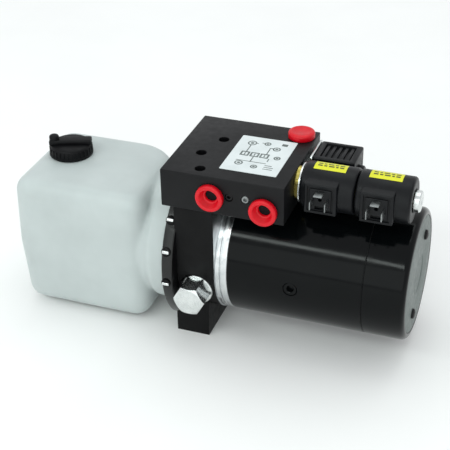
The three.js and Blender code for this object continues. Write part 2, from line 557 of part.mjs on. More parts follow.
function addMotor() {
  const bearingX0 = BRACKET_X0 + 4;
  const bearingX1 = bearingX0 + 9;
  const groove = BRACKET_X0 + 4;
  const bracket = turned([
    [BRACKET_X0, BEARING_R + FIT], [BRACKET_X0, MOTOR_R], [groove, MOTOR_R], [groove, MOTOR_R - 1.5],
    [groove + 1.2, MOTOR_R - 1.5], [groove + 1.2, MOTOR_R], [SHELL_X0 - TOUCH, MOTOR_R],
    [SHELL_X0 - TOUCH, SHELL_BORE - FIT], [SHELL_X0 + 4, SHELL_BORE - FIT], [SHELL_X0 + 4, 26],
    [bearingX1 + 2, 22], [bearingX1 + 2, BEARING_R - 2], [bearingX1 + FIT, BEARING_R - 2],
    [bearingX1 + FIT, BEARING_R + FIT],
  ]);
  addPiece('drive_bracket', onAxis(bracket), looks.machinedAluminium);
  const bearing = ring(bearingX0, bearingX1, SHAFT_R + FIT, BEARING_R, SMALL_ROUND);
  addPiece('front_bearing', onAxis(bearing), looks.steel);

  const coreX1 = CORE_X0 + CORE_L;
  const commutatorX0 = coreX1 + 4;
  const commutatorX1 = commutatorX0 + COMMUTATOR_L;
  const couplingX = [DRIVE_SHAFT_X1 - 10, DRIVE_SHAFT_X1 + 11];
  const coupling = ring(...couplingX, PUMP_SHAFT_R + FIT, COUPLING_R, SMALL_ROUND);
  addPiece('coupling', onAxis(coupling), looks.steel);
  const shaft = turned([
    [DRIVE_SHAFT_X1 + 1, 0], [DRIVE_SHAFT_X1 + 1, PUMP_SHAFT_R], [DRIVE_SHAFT_X1 + 11.5, PUMP_SHAFT_R],
    [DRIVE_SHAFT_X1 + 11.5, SHAFT_R], [commutatorX1 + 3, SHAFT_R], [commutatorX1 + 3, PUMP_SHAFT_R],
    [MOTOR_X1 - 7, PUMP_SHAFT_R], [MOTOR_X1 - 7, 0],
  ], SMALL_ROUND);
  addPiece('rotor_shaft', onAxis(shaft), looks.steel);
  const core = ring(CORE_X0, coreX1, SHAFT_R + FIT, CORE_R, SMALL_ROUND);
  addPiece('armature_core', onAxis(core), looks.castIron);
  const commutator = ring(commutatorX0, commutatorX1, SHAFT_R + FIT, COMMUTATOR_R, SMALL_ROUND);
  addPiece('commutator', onAxis(commutator), looks.copper);

  const poleAt = (geometry, side) => {
    facingFront(geometry).rotateZ(side > 0 ? Math.PI : 0);
    return onAxis(geometry.translate(POLE_X, 0, 0));
  };
  const poleScrewHole = (side) => poleAt(rod(SHELL_BORE - 7, MOTOR_R + 1, POLE_HOLE_R + FIT), side);
  const shell = cut(
    onAxis(ring(SHELL_X0, SHELL_X0 + MOTOR_L, SHELL_BORE, MOTOR_R)),
    poleScrewHole(-1), poleScrewHole(1),
  );
  addPiece('motor_shell', shell, looks.blackPaint);
  [-1, 1].forEach((side, i) => {
    const arc = new THREE.Shape();
    const half = 62 * Math.PI / 180;
    const middle = side > 0 ? 0 : Math.PI;
    arc.absarc(0, 0, SHELL_BORE - FIT, middle - half, middle + half, false);
    arc.absarc(0, 0, CORE_R + 1.5, middle + half, middle - half, true);
    arc.closePath();
    const pole = onAxis(prism(arc, CORE_X0, coreX1, 8));
    addPiece(`pole_${i + 1}`, cut(pole, poleScrewHole(side)), looks.ferrite);
    const screw = turned([
      [SHELL_BORE - 6, 0], [SHELL_BORE - 6, POLE_HOLE_R], [MOTOR_R - 0.6, POLE_HOLE_R],
      [MOTOR_R - 0.6, 3], [MOTOR_R - 3.5, 3], [MOTOR_R - 3.5, 0],
    ], SMALL_ROUND);
    addPiece(`pole_screw_${i + 1}`, poleAt(screw, side), looks.blackPaint);
  });

  const brushX = (commutatorX0 + commutatorX1) / 2;
  const brushAt = (inset, travel) => [-1, 1].map((side) => {
    const ends = [side * (COMMUTATOR_R + FIT), side * (COMMUTATOR_R + BRUSH_L + travel)];
    const [y0, y1] = ends.sort((a, b) => a - b);
    return onAxis(box(brushX - 6 - inset, brushX + 6 + inset, y0, y1, -7 - inset, 7 + inset));
  });
  const plate = ring(brushX - 9, COVER_X0 + 9, COMMUTATOR_R + 3, SHELL_BORE - 2, ROUND);
  const screwAt = (geometry, side) =>
    onAxis(geometry.translate(0, side * BRUSH_SCREW.y, side * BRUSH_SCREW.z));
  const screwHoles = (x0, x1) => [-1, 1].map((side) =>
    screwAt(hole(x0, x1, BRUSH_SCREW.radius + FIT, TINY_ROUND), side));
  const plateHoles = screwHoles(COVER_X0, COVER_X0 + 10);
  const holder = cut(onAxis(plate), ...brushAt(FIT, BRUSH_TRAVEL), ...plateHoles);
  addPiece('brush_holder', holder, looks.coilPlastic);
  brushAt(0, 0).forEach((brush, i) => addPiece(`brush_${i + 1}`, brush, looks.carbon));

  const inside = MOTOR_X1 - 5;
  const coverOuter = turned([
    [COVER_X0, SHELL_BORE], [COVER_X0, MOTOR_R], [MOTOR_X1 - 5, MOTOR_R],
    [MOTOR_X1 - 3.5, MOTOR_R - 0.6], [MOTOR_X1 - 1.5, MOTOR_R - 2], [MOTOR_X1, MOTOR_R - 5],
    [MOTOR_X1, 0], [MOTOR_X1 - 6, 0], [MOTOR_X1 - 6, PUMP_SHAFT_R + FIT],
    [MOTOR_X1 - 20, PUMP_SHAFT_R + FIT], [MOTOR_X1 - 20, 14], [inside, 14], [inside, SHELL_BORE],
  ]);
  const cover = cut(onAxis(coverOuter), ...screwHoles(inside - 1, MOTOR_X1 + 1));
  addPiece('motor_end_cover', cover, looks.blackPaint);
  [-1, 1].forEach((side, i) => {
    const screw = turned([
      [COVER_X0 + 1, 0], [COVER_X0 + 1, BRUSH_SCREW.radius], [MOTOR_X1 + TOUCH, BRUSH_SCREW.radius],
      [MOTOR_X1 + TOUCH, 4.5], [MOTOR_X1 + 2.5, 4], [MOTOR_X1 + 2.5, 0],
    ], TINY_ROUND);
    addPiece(`end_screw_${i + 1}`, screwAt(screw, side), looks.zinc);
  });
}

// ---------------------------------------------------------------- valve block

const blockScrews = [{ x: 12.5, y: 6 }, { x: 2.6, y: -22 }, { x: 11.4, y: -48 }];
const PILOT_PLUGS = [
  { x: LEFT_PORT.x + 15.7, z: BLOCK_Z0 + 17.5 },
  { x: LEFT_PORT.x + 29.8, z: BLOCK_Z0 + 18 },
];
const LABEL = { x0: BLOCK_X0 + 45.5, y0: BLOCK_Y0 + 16, length: 48.5, width: 61.5, thickness: 0.4 };

function addValveBlock() {
  const front = -BLOCK_Y0;
  const frontAt = (geometry, { x, z }) => facingFront(geometry).translate(x, 0, z);
  const portBores = [LEFT_PORT, RIGHT_PORT].map((port) =>
    frontAt(hole(front - PORT_PLUG_DEPTH - 2, front + 1, PORT_R), port));
  const pilotBores = PILOT_PLUGS.map((plug) =>
    frontAt(hole(front - 8, front + 1, PILOT_R + FIT, TINY_ROUND), plug));
  const topAt = (geometry, { x, y }) => facingUp(geometry).translate(x, y, 0);
  const topBore = topAt(hole(BLOCK_TOP - 14, BLOCK_TOP + 1, TOP_PORT_R), TOP_PORT);
  const screwBores = blockScrews.flatMap((screw) => [
    topAt(hole(BLOCK_Z0 - 1, BLOCK_TOP, SCREW_SHANK_R + FIT, TINY_ROUND), screw),
    topAt(hole(BLOCK_TOP - COUNTERBORE, BLOCK_TOP + 1, SCREW_HEAD_R + FIT, TINY_ROUND), screw),
  ]);
  const cavityAt = (geometry, { y, z }) => geometry.translate(0, y, z);
  const cavities = [
    cavityAt(hole(BLOCK_X1 - 58, BLOCK_X1 + 1, FRONT_CARTRIDGE_R + FIT), FRONT_VALVE),
    cavityAt(hole(BLOCK_X1 - 40, BLOCK_X1 + 1, REAR_CARTRIDGE_R + FIT), REAR_VALVE),
  ];
  const body = cut(
    box(BLOCK_X0, BLOCK_X1, BLOCK_Y0, BLOCK_Y1, BLOCK_Z0, BLOCK_TOP),
    ...portBores, ...pilotBores, topBore, ...screwBores, ...cavities,
  );
  addPiece('valve_block', body, looks.blackAnodised);

  const headSeat = BLOCK_TOP - COUNTERBORE + TOUCH;
  const headTop = BLOCK_TOP - SCREW_SUNK;
  blockScrews.forEach((place, i) => {
    const screw = turned([
      [BLOCK_Z0 - 14, 0], [BLOCK_Z0 - 14, SCREW_SHANK_R], [headSeat, SCREW_SHANK_R],
      [headSeat, SCREW_HEAD_R], [headTop, SCREW_HEAD_R], [headTop, 2.4], [headTop - 3, 2.4],
      [headTop - 3, 0],
    ], TINY_ROUND);
    addPiece(`block_screw_${i + 1}`, topAt(screw, place), looks.steel);
  });
  const labelZ = BLOCK_TOP + TOUCH;
  const label = box(
    LABEL.x0, LABEL.x0 + LABEL.length, LABEL.y0, LABEL.y0 + LABEL.width, labelZ, labelZ + LABEL.thickness,
  );
  addPiece('block_label', label, looks.paper);

  const inner = front - PORT_PLUG_DEPTH;
  const funnelEnd = front + PORT_PLUG_HEAD - PORT_PLUG_FUNNEL;
  const portPlug = () => turned([
    [inner, 0], [inner, PORT_R - FIT], [front + TOUCH, PORT_R - FIT], [front + TOUCH, PORT_PLUG_R],
    [front + PORT_PLUG_HEAD - 1.5, PORT_PLUG_R], [front + PORT_PLUG_HEAD, PORT_PLUG_R - 1.5],
    [front + PORT_PLUG_HEAD, PORT_PLUG_MOUTH_R], [funnelEnd, PORT_PLUG_HOLE_R + 1.3],
    [funnelEnd, PORT_PLUG_HOLE_R], [inner + 2, PORT_PLUG_HOLE_R], [inner + 2, 0],
  ], SMALL_ROUND);
  addPiece('port_plug_left', frontAt(portPlug(), LEFT_PORT), looks.redPlastic);
  addPiece('port_plug_right', frontAt(portPlug(), RIGHT_PORT), looks.redPlastic);
  const topPlug = turned([
    [BLOCK_TOP - 12, 0], [BLOCK_TOP - 12, TOP_PORT_R - FIT], [BLOCK_TOP + TOUCH, TOP_PORT_R - FIT],
    [BLOCK_TOP + TOUCH, TOP_PLUG_R], [BLOCK_TOP + TOP_PLUG_H - 2, TOP_PLUG_R],
    [BLOCK_TOP + TOP_PLUG_H, TOP_PLUG_R - 2], [BLOCK_TOP + TOP_PLUG_H, 0],
  ], SMALL_ROUND);
  addPiece('port_plug_top', topAt(topPlug, TOP_PORT), looks.redPlastic);
  PILOT_PLUGS.forEach((place, i) => {
    const plug = rod(front - 7, front + 0.6, PILOT_R, TINY_ROUND);
    addPiece(`pilot_plug_${i + 1}`, frontAt(plug, place), looks.zinc);
  });
}

// ---------------------------------------------------------------- solenoid valves

// Three blades of a plug socket, around a middle on X, standing out of a face that looks to -Y.
function bladesAt(middle, face, reach) {
  const upright = [-1, 1].map((side) => {
    const x = middle + side * BLADE.spread;
    return box(x - BLADE.half, x + BLADE.half, face - reach, face + 1, 1 - BLADE.length, 1);
  });
  const earth = box(
    middle - BLADE.earthHalf, middle + BLADE.earthHalf, face - reach, face + 1,
    BLADE.earthUp, BLADE.earthUp + 2 * BLADE.half,
  );
  return [...upright, earth];
}

// Round coil along X with a square plug socket that faces the front.
function roundCoil() {
  const chamfer = 1.5;
  const tube = VALVE_TUBE_R + FIT;
  const barrel = turned([
    [0, tube], [0, COIL_R - chamfer], [chamfer, COIL_R], [COIL_L - chamfer, COIL_R],
    [COIL_L, COIL_R - chamfer], [COIL_L, tube],
  ], SMALL_ROUND);
  const half = SOCKET_W / 2;
  const socket = box(SOCKET_AT - half, SOCKET_AT + half, -SOCKET_REACH, -tube - 3, -half, half);
  const blades = bladesAt(SOCKET_AT, -SOCKET_REACH, BLADE.reach);
  return cut(join(barrel, socket, ...blades), hole(-1, COIL_L + 1, tube));
}

// Square coil along X, with its blades inside a shallow recess that faces up.
function squareCoil() {
  const { length, halfWidth, up, recess } = REAR_COIL;
  const body = box(0, length, -halfWidth, halfWidth, -REAR_COIL_DOWN, up);
  const pocket = box(6, length - 6, -halfWidth + 5, halfWidth - 5, up - recess, up + 1);
  const blades = bladesAt(length / 2, -up + recess, recess - 0.5)
    .map((blade) => blade.rotateX(-Math.PI / 2));
  return join(cut(body, pocket, hole(-1, length + 1, VALVE_TUBE_R + FIT)), ...blades);
}

// Cartridge screwed into the block, with its hexagon and the tube that the coils slide on.
function cartridge(radius, depth, across, hexX1, tubeX1) {
  const hexX0 = BLOCK_X1 + TOUCH;
  const solid = join(
    rod(BLOCK_X1 - depth, hexX0 + 1, radius),
    prism(hexShape(across), hexX0, hexX1),
    rod(hexX0, tubeX1, VALVE_TUBE_R),
  );
  return cut(solid, hole(BLOCK_X1 - depth - 4, tubeX1 - 3, VALVE_BORE_R));
}

// Cap nut over the end of a valve tube.
function coilNut(x0, tubeX1, radius) {
  return cut(
    rod(x0, tubeX1 + 2.5, radius, SMALL_ROUND),
    hole(x0 - 1, tubeX1 + FIT, VALVE_TUBE_R + FIT),
  );
}

function addValves() {
  const at = (geometry, { y, z }) => geometry.translate(0, y, z);
  const tubeX1 = COIL_ROW_X1 + 3;
  const washerX1 = COIL_1_X0 - TOUCH;
  const washerX0 = washerX1 - PLATE_T;
  const frontBody = cartridge(FRONT_CARTRIDGE_R, 56, VALVE_HEX, washerX0 - TOUCH, tubeX1);
  addPiece('front_valve_body', at(frontBody, FRONT_VALVE), looks.brass);
  const landR = VALVE_BORE_R - FIT;
  const spool = turned([
    [BLOCK_X1 - 50, 0], [BLOCK_X1 - 50, landR], [BLOCK_X1 - 34, landR], [BLOCK_X1 - 34, landR - 1.2],
    [BLOCK_X1 - 22, landR - 1.2], [BLOCK_X1 - 22, landR], [COIL_ROW_X1 - 12, landR],
    [COIL_ROW_X1 - 12, 0],
  ], TINY_ROUND);
  addPiece('front_valve_spool', at(spool, FRONT_VALVE), looks.steel);
  const washer = ring(washerX0, washerX1, VALVE_TUBE_R + FIT, COIL_WASHER_R, SMALL_ROUND);
  addPiece('coil_washer', at(washer, FRONT_VALVE), looks.zinc);
  [COIL_1_X0, COIL_2_X0].forEach((x, i) => {
    addPiece(`coil_${i + 1}`, at(roundCoil().translate(x, 0, 0), FRONT_VALVE), looks.coilPlastic);
  });
  const nut = coilNut(COIL_ROW_X1 + TOUCH, tubeX1, 9);
  addPiece('front_coil_nut', at(nut, FRONT_VALVE), looks.zinc);

  const rearCoilX0 = BLOCK_X1 + REAR_COIL.gap;
  const plateX1 = rearCoilX0 - TOUCH;
  const plateX0 = plateX1 - PLATE_T;
  const rearTubeX1 = rearCoilX0 + REAR_COIL.length + 2;
  const rearBody = cartridge(REAR_CARTRIDGE_R, 38, VALVE_HEX - 3, plateX0 - TOUCH, rearTubeX1);
  addPiece('rear_valve_body', at(rearBody, REAR_VALVE), looks.zinc);
  const plunger = rod(BLOCK_X1 - 32, rearTubeX1 - 7, landR, TINY_ROUND);
  addPiece('rear_valve_plunger', at(plunger, REAR_VALVE), looks.steel);
  const { halfWidth, up } = REAR_COIL;
  const plate = cut(
    box(plateX0, plateX1, -halfWidth - 2, halfWidth, -REAR_COIL_DOWN, up + 1),
    hole(plateX0 - 1, plateX1 + 1, VALVE_TUBE_R + FIT),
  );
  addPiece('rear_coil_plate', at(plate, REAR_VALVE), looks.zinc);
  addPiece('rear_coil', at(squareCoil().translate(rearCoilX0, 0, 0), REAR_VALVE), looks.coilPlastic);
  const rearNut = coilNut(rearCoilX0 + REAR_COIL.length + TOUCH, rearTubeX1, 8.5);
  addPiece('rear_coil_nut', at(rearNut, REAR_VALVE), looks.coilPlastic);
}

addTank();
addManifold();
addRimScrews();
addPump();
addMotor();
addValveBlock();
addValves();

export default unit;
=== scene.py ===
"""Looks of a hydraulic power unit: oil tank, centre manifold, motor, and a valve block with three
solenoid coils. +X runs along the motor's axis, -Y is the front, +Z is up, and the origin is the
middle of the foot's underside. Shapes are drawn in millimetres and made into metres at the end."""
import math

import bmesh
import bpy
from mathutils import Matrix, Vector


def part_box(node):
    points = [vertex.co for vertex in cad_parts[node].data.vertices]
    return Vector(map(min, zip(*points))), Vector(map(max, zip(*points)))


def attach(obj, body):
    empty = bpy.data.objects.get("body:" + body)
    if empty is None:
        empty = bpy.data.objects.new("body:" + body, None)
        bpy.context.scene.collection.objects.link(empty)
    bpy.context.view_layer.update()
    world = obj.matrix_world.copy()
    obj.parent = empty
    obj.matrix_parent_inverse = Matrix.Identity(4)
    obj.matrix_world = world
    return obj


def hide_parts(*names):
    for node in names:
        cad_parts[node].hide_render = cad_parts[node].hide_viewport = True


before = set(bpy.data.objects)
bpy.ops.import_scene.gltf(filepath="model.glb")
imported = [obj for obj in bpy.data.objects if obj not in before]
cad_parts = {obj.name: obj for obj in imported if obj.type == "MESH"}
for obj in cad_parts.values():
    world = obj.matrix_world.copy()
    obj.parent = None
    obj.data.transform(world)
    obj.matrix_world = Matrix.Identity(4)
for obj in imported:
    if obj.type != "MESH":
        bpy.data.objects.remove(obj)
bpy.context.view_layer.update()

MM = 0.001
X, Y, Z = Vector((1, 0, 0)), Vector((0, 1, 0)), Vector((0, 0, 1))
FRONT = -Y
CUBE_EDGE_ANGLE = math.radians(60)


# ---------------------------------------------------------------- places taken from the frame

def corners(node):
    """A node's lowest and highest corners, in millimetres."""
    low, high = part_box(node)
    return Vector(low) / MM, Vector(high) / MM


def middle(node):
    low, high = corners(node)
    return (low + high) / 2


SHELL_LOW, SHELL_HIGH = corners("motor_shell")
MOTOR_R = (SHELL_HIGH.y - SHELL_LOW.y) / 2
AXIS = Vector((0, 0, (SHELL_LOW.z + SHELL_HIGH.z) / 2))
BLOCK_LOW, BLOCK_HIGH = corners("valve_block")
MANIFOLD_HIGH = corners("manifold_body")[1]
TANK_LOW, TANK_HIGH = corners("tank_shell")
CAP = middle("filler_cap")
FRONT_VALVE = Vector((0, middle("coil_washer").y, middle("coil_washer").z))
REAR_VALVE = Vector((0, middle("rear_coil_nut").y, middle("rear_coil_nut").z))
POLE_X = middle("pole_screw_1").x


# ---------------------------------------------------------------- materials

def linear(code):
    """A colour given as an sRGB hex code, as linear RGBA."""
    parts = [int(code[i:i + 2], 16) / 255 for i in (1, 3, 5)]
    return tuple(c / 12.92 if c <= 0.04045 else ((c + 0.055) / 1.055) ** 2.4 for c in parts) + (1.0,)


def add_node(tree, kind, settings=None, links=None):
    """Adds a node; a setting is a property or an input's value, and a link feeds an input."""
    made = tree.nodes.new(kind)
    for name, value in (settings or {}).items():
        if hasattr(made, name):
            setattr(made, name, value)
        else:
            made.inputs[name].default_value = value
    for name, source in (links or {}).items():
        tree.links.new(source, made.inputs[name])
    return made


def new_material(name, shader_settings):
    """A material with one Principled shader, and Object coordinates to paint it by."""
    material = bpy.data.materials.new(name)
    material.use_nodes = True
    tree = material.node_tree
    tree.nodes.clear()
    shader = add_node(tree, "ShaderNodeBsdfPrincipled", shader_settings)
    add_node(tree, "ShaderNodeOutputMaterial", None, {"Surface": shader.outputs["BSDF"]})
    place = add_node(tree, "ShaderNodeTexCoord").outputs["Object"]
    return material, tree, shader, place


def grain(tree, place, size, detail=3.0):
    """Noise whose blobs are about `size` millimetres across."""
    return add_node(
        tree, "ShaderNodeTexNoise", {"Scale": 1 / (size * MM), "Detail": detail, "Roughness": 0.55},
        {"Vector": place},
    ).outputs["Fac"]


def spread(tree, value, low, high, from_low=0.3, from_high=0.7):
    """Maps a pattern's values onto a range of numbers."""
    return add_node(
        tree, "ShaderNodeMapRange",
        {"From Min": from_low, "From Max": from_high, "To Min": low, "To Max": high}, {"Value": value},
    ).outputs["Result"]


def two_tone(tree, shader, value, first, second):
    """Paints the base colour between two hex colours by a pattern's value."""
    ramp = add_node(tree, "ShaderNodeValToRGB", None, {"Fac": value})
    for element, position, code in zip(ramp.color_ramp.elements, (0.3, 0.7), (first, second)):
        element.position = position
        element.color = linear(code)
    tree.links.new(ramp.outputs["Color"], shader.inputs["Base Color"])


def relief(tree, shader, height, depth, strength):
    """Raises the surface by a height pattern, `depth` millimetres from low to high."""
    bump = add_node(
        tree, "ShaderNodeBump", {"Strength": strength, "Distance": depth * MM}, {"Height": height},
    )
    tree.links.new(bump.outputs["Normal"], shader.inputs["Normal"])


def finish_of(name, first, second, rough, settings, patch=12, pit=0.8, pit_depth=0.04, strength=0.5):
    """A finish with faint cloudiness, uneven gloss and a fine surface texture; sizes in millimetres."""
    material, tree, shader, place = new_material(name, settings)
    two_tone(tree, shader, grain(tree, place, patch), first, second)
    tree.links.new(spread(tree, grain(tree, place, patch / 3), *rough), shader.inputs["Roughness"])
    relief(tree, shader, grain(tree, place, pit, 2.0), pit_depth, strength)
    return material


WAVE_PERIOD = math.tau / 20      # spacing of a wave texture's bands at a scale of 1


def turned_metal(name, first, second, spacing):
    """A lathe-turned metal: soft rings run round the X axis, `spacing` millimetres apart."""
    material, tree, shader, place = new_material(name, {"Metallic": 1.0})
    two_tone(tree, shader, grain(tree, place, 8), first, second)
    wave_scale = WAVE_PERIOD / (spacing * MM)
    tool_marks = add_node(
        tree, "ShaderNodeTexWave", {"bands_direction": "X", "Scale": wave_scale, "Distortion": 0.2},
        {"Vector": place},
    ).outputs["Fac"]
    tree.links.new(spread(tree, tool_marks, 0.16, 0.3, 0.0, 1.0), shader.inputs["Roughness"])
    relief(tree, shader, tool_marks, 0.02, 0.3)
    return material


# Natural high-density polyethylene, blow moulded: milky, light soaks into it, soft satin gloss.
natural_polyethylene = finish_of(
    "natural_polyethylene", "#b5bdbc", "#bfc7c6", (0.34, 0.44),
    {"Subsurface Weight": 0.4, "Subsurface Radius": (0.9, 1.0, 1.0), "Subsurface Scale": 5 * MM,
     "IOR": 1.54, "Specular IOR Level": 0.35},
    patch=45, pit=2.5, pit_depth=0.05, strength=0.3,
)
# Spark-eroded moulded nylon: soft dark sheen over a fine even texture.
moulded_nylon = finish_of(
    "moulded_nylon", "#060608", "#0c0c0e", (0.4, 0.52), {"IOR": 1.53, "Specular IOR Level": 0.14},
    patch=8, pit=0.6,
)
# Glass-filled nylon moulded round the coils: dull black with a slight orange peel.
glass_filled_nylon = finish_of(
    "glass_filled_nylon", "#07080b", "#0d0f12", (0.32, 0.45), {"IOR": 1.53, "Specular IOR Level": 0.2},
    patch=6, pit=0.9, pit_depth=0.05,
)
# Bead-blasted, black anodised aluminium: charcoal, with a broad soft gloss.
black_anodised_aluminium = finish_of(
    "black_anodised_aluminium", "#09090b", "#101012", (0.4, 0.5),
    {"IOR": 1.5, "Specular IOR Level": 0.2}, patch=18, pit=0.5, pit_depth=0.03,
)
# Aluminium casting, painted black: blacker and rougher than the anodised block.
painted_casting = finish_of(
    "painted_casting", "#060607", "#0c0c0d", (0.34, 0.48), {"IOR": 1.5, "Specular IOR Level": 0.14},
    patch=14, pit=1.4, pit_depth=0.08,
)
# Stoved gloss enamel on steel: deep black, sharp highlights with a faint orange peel.
gloss_enamel = finish_of(
    "gloss_enamel", "#030506", "#060809", (0.1, 0.15), {"IOR": 1.5, "Specular IOR Level": 0.14},
    patch=30, pit=2.5, pit_depth=0.015, strength=0.2,
)
# The same enamel over the flange's machined rim, which is smoother still and so glossier.
rim_enamel = finish_of(
    "rim_enamel", "#070908", "#0b0e0c", (0.2, 0.28), {"IOR": 1.5, "Specular IOR Level": 0.45},
    patch=12, pit=1.4, pit_depth=0.02,
)
# Thin grey primer on pressed steel: dull and slightly mottled.
grey_primer = finish_of(
    "grey_primer", "#5a6360", "#6a7370", (0.4, 0.55), {"IOR": 1.5, "Specular IOR Level": 0.4},
    patch=9, pit=0.7,
)
# Bright zinc plate on steel: white metal with fine pits.
zinc_plate = finish_of(
    "zinc_plate", "#d2d6d5", "#e4e7e6", (0.2, 0.3), {"Metallic": 1.0}, patch=5, pit=0.6, pit_depth=0.005,
)
# Zinc plate that has dulled in the air: greyer, and broader in its gloss.
dull_zinc = finish_of(
    "dull_zinc", "#7c8080", "#9a9d9d", (0.35, 0.5), {"Metallic": 1.0}, patch=3, pit=0.5, pit_depth=0.02,
)
# Turned brass, slightly tarnished: warm yellow metal.
turned_brass = finish_of(
    "turned_brass", "#8f8240", "#b3a45c", (0.24, 0.36), {"Metallic": 1.0}, patch=4, pit=0.5, pit_depth=0.02,
)
# Soft low-density polyethylene plugs: saturated red, waxy.
red_polyethylene = finish_of(
    "red_polyethylene", "#c40014", "#d6041c", (0.32, 0.45),
    {"Subsurface Weight": 0.1, "Subsurface Radius": (1.0, 0.2, 0.1), "Subsurface Scale": 1.5 * MM,
     "IOR": 1.51, "Specular IOR Level": 0.35},
    patch=7, pit=0.9,
)
# Coated paper, with the film's slight ripple: flat white, flat yellow and grey ink.
white_label = finish_of(
    "white_label", "#cfd6d7", "#dbe1e2", (0.35, 0.45), {"IOR": 1.46}, patch=14, pit=3,
)
yellow_label = finish_of(
    "yellow_label", "#cfcf0c", "#dcdc1a", (0.35, 0.45), {"IOR": 1.46}, patch=9, pit=2,
)
grey_ink = finish_of(
    "grey_ink", "#4c5452", "#717a78", (0.4, 0.5), {"IOR": 1.46}, patch=4, pit=1,
)
dark_ink = finish_of(
    "dark_ink", "#3a3b14", "#55561c", (0.4, 0.5), {"IOR": 1.46}, patch=3, pit=1,
)
# Nitrile rubber: matt black.
nitrile_rubber = finish_of(
    "nitrile_rubber", "#121213", "#1b1b1c", (0.6, 0.75), {"IOR": 1.52}, patch=4, pit=0.5,
)
# Ground steel: clean grey metal with a fine satin.
ground_steel = finish_of(
    "ground_steel", "#a7aaac", "#c0c3c4", (0.25, 0.38), {"Metallic": 1.0}, patch=6, pit=0.4,
)
# Black-oxided steel socket screws: dark, oily gloss.
black_oxide_steel = finish_of(
    "black_oxide_steel", "#121213", "#1c1c1d", (0.3, 0.42), {"Metallic": 0.6}, patch=4, pit=0.4,
)
# Cast iron: dark grey, granular.
cast_iron = finish_of(
    "cast_iron", "#47494b", "#57595b", (0.5, 0.65), {"Metallic": 0.8}, patch=6, pit=1.1, pit_depth=0.08,
)
# Turned copper bars of the commutator: reddish metal.
turned_copper = finish_of(
    "turned_copper", "#a5623a", "#b9744a", (0.25, 0.4), {"Metallic": 1.0}, patch=5, pit=0.4,
)
# Sintered ferrite and pressed carbon: matt, near black.
sintered_ferrite = finish_of(
    "sintered_ferrite", "#262628", "#323234", (0.6, 0.75), {"IOR": 1.6}, patch=4, pit=0.6,
)
# Turned aluminium: bright, with soft rings of uneven gloss that the lathe tool left.
turned_aluminium = turned_metal("turned_aluminium", "#cfd3d5", "#e6e8e9", 5.655)


# ---------------------------------------------------------------- shaping

def settle(bm):
    """Merges doubled points and turns every face outwards."""
    bmesh.ops.remove_doubles(bm, verts=bm.verts, dist=0.002)
    bmesh.ops.recalc_face_normals(bm, faces=bm.faces)


def round_edges(bm, edges, radius, segments):
    bmesh.ops.bevel(
        bm, geom=edges, offset=radius, offset_type="OFFSET", segments=segments, profile=0.5,
        affect="EDGES", clamp_overlap=True, material=-1,
    )


def break_edges(bm, width, segments=2, sharper_than=30):
    """Rounds every edge that is sharper than the angle, as tumbling or a mould's wear does."""
    limit = math.radians(sharper_than)
    round_edges(bm, [e for e in bm.edges if e.is_manifold and e.calc_face_angle() > limit], width, segments)


def along(bm, direction, length=10):
    """Edges that run in a direction for at least the length."""
    found = []
    for edge in bm.edges:
        run = edge.verts[1].co - edge.verts[0].co
        if abs(run.dot(direction)) > length and run.cross(direction).length < 0.01 * run.length:
            found.append(edge)
    return found


def dress(made, look, smooth_under=35):
    made.data.materials.clear()
    made.data.materials.append(look)
    made.data.shade_smooth()
    made.data.set_sharp_from_angle(angle=math.radians(smooth_under))


def as_object(bm, name="spare"):
    mesh = bpy.data.meshes.new(name)
    bm.to_mesh(mesh)
    bm.free()
    made = bpy.data.objects.new(name, mesh)
    bpy.context.scene.collection.objects.link(made)
    return made


def piece(name, bm, look, body="unit", stands_for=(), smooth_under=35):
    """Makes a bmesh drawn in millimetres into an object in metres that rides on a body."""
    bmesh.ops.scale(bm, vec=(MM, MM, MM), verts=bm.verts)
    made = as_object(bm, name)
    dress(made, look, smooth_under)
    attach(made, body)
    if stands_for:
        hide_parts(*stands_for)
    return made


def turned(points, steps=96, direction=X, centre=None):
    """Spins [distance along the axis, radius] points round an axis."""
    centre = AXIS if centre is None else centre
    bm = bmesh.new()
    side = direction.orthogonal().normalized()
    verts = [bm.verts.new(centre + direction * along_axis + side * radius) for along_axis, radius in points]
    edges = [bm.edges.new(pair) for pair in zip(verts, verts[1:])]
    bmesh.ops.spin(
        bm, geom=verts + edges, cent=centre, axis=direction, angle=2 * math.pi, steps=steps, use_merge=True,
    )
    settle(bm)
    return bm


def rod(start, end, radius, steps=32, direction=X, centre=None):
    return turned([(start, 0), (start, radius), (end, radius), (end, 0)], steps, direction, centre)


def slab(low, high):
    """A box between two corners."""
    bm = bmesh.new()
    low, high = Vector(low), Vector(high)
    size = Matrix.Diagonal((*(high - low), 1))
    bmesh.ops.create_cube(bm, size=1.0, matrix=Matrix.Translation((low + high) / 2) @ size)
    return bm


def turned_slab(size, at, turn, axis="Z"):
    """A box of a size about a middle, turned about an axis through it."""
    bm = bmesh.new()
    place = Matrix.Translation(at) @ Matrix.Rotation(turn, 4, axis) @ Matrix.Diagonal((*size, 1))
    bmesh.ops.create_cube(bm, size=1.0, matrix=place)
    return bm


def hexagon(across_flats, start, end, direction, centre, turn=0.0):
    """A hexagonal bar along a direction."""
    bm = bmesh.new()
    aim = Z.rotation_difference(direction).to_matrix().to_4x4() @ Matrix.Rotation(turn, 4, "Z")
    radius = across_flats / math.sqrt(3)
    bmesh.ops.create_cone(
        bm, cap_ends=True, segments=6, radius1=radius, radius2=radius, depth=end - start,
        matrix=Matrix.Translation(centre + direction * (start + end) / 2) @ aim,
    )
    return bm


def add_to(bm, *others):
    """Adds the faces of other bmeshes to one, and frees them."""
    for other in others:
        spare = bpy.data.meshes.new("spare")
        other.to_mesh(spare)
        other.free()
        bm.from_mesh(spare)
        bpy.data.meshes.remove(spare)
    return bm


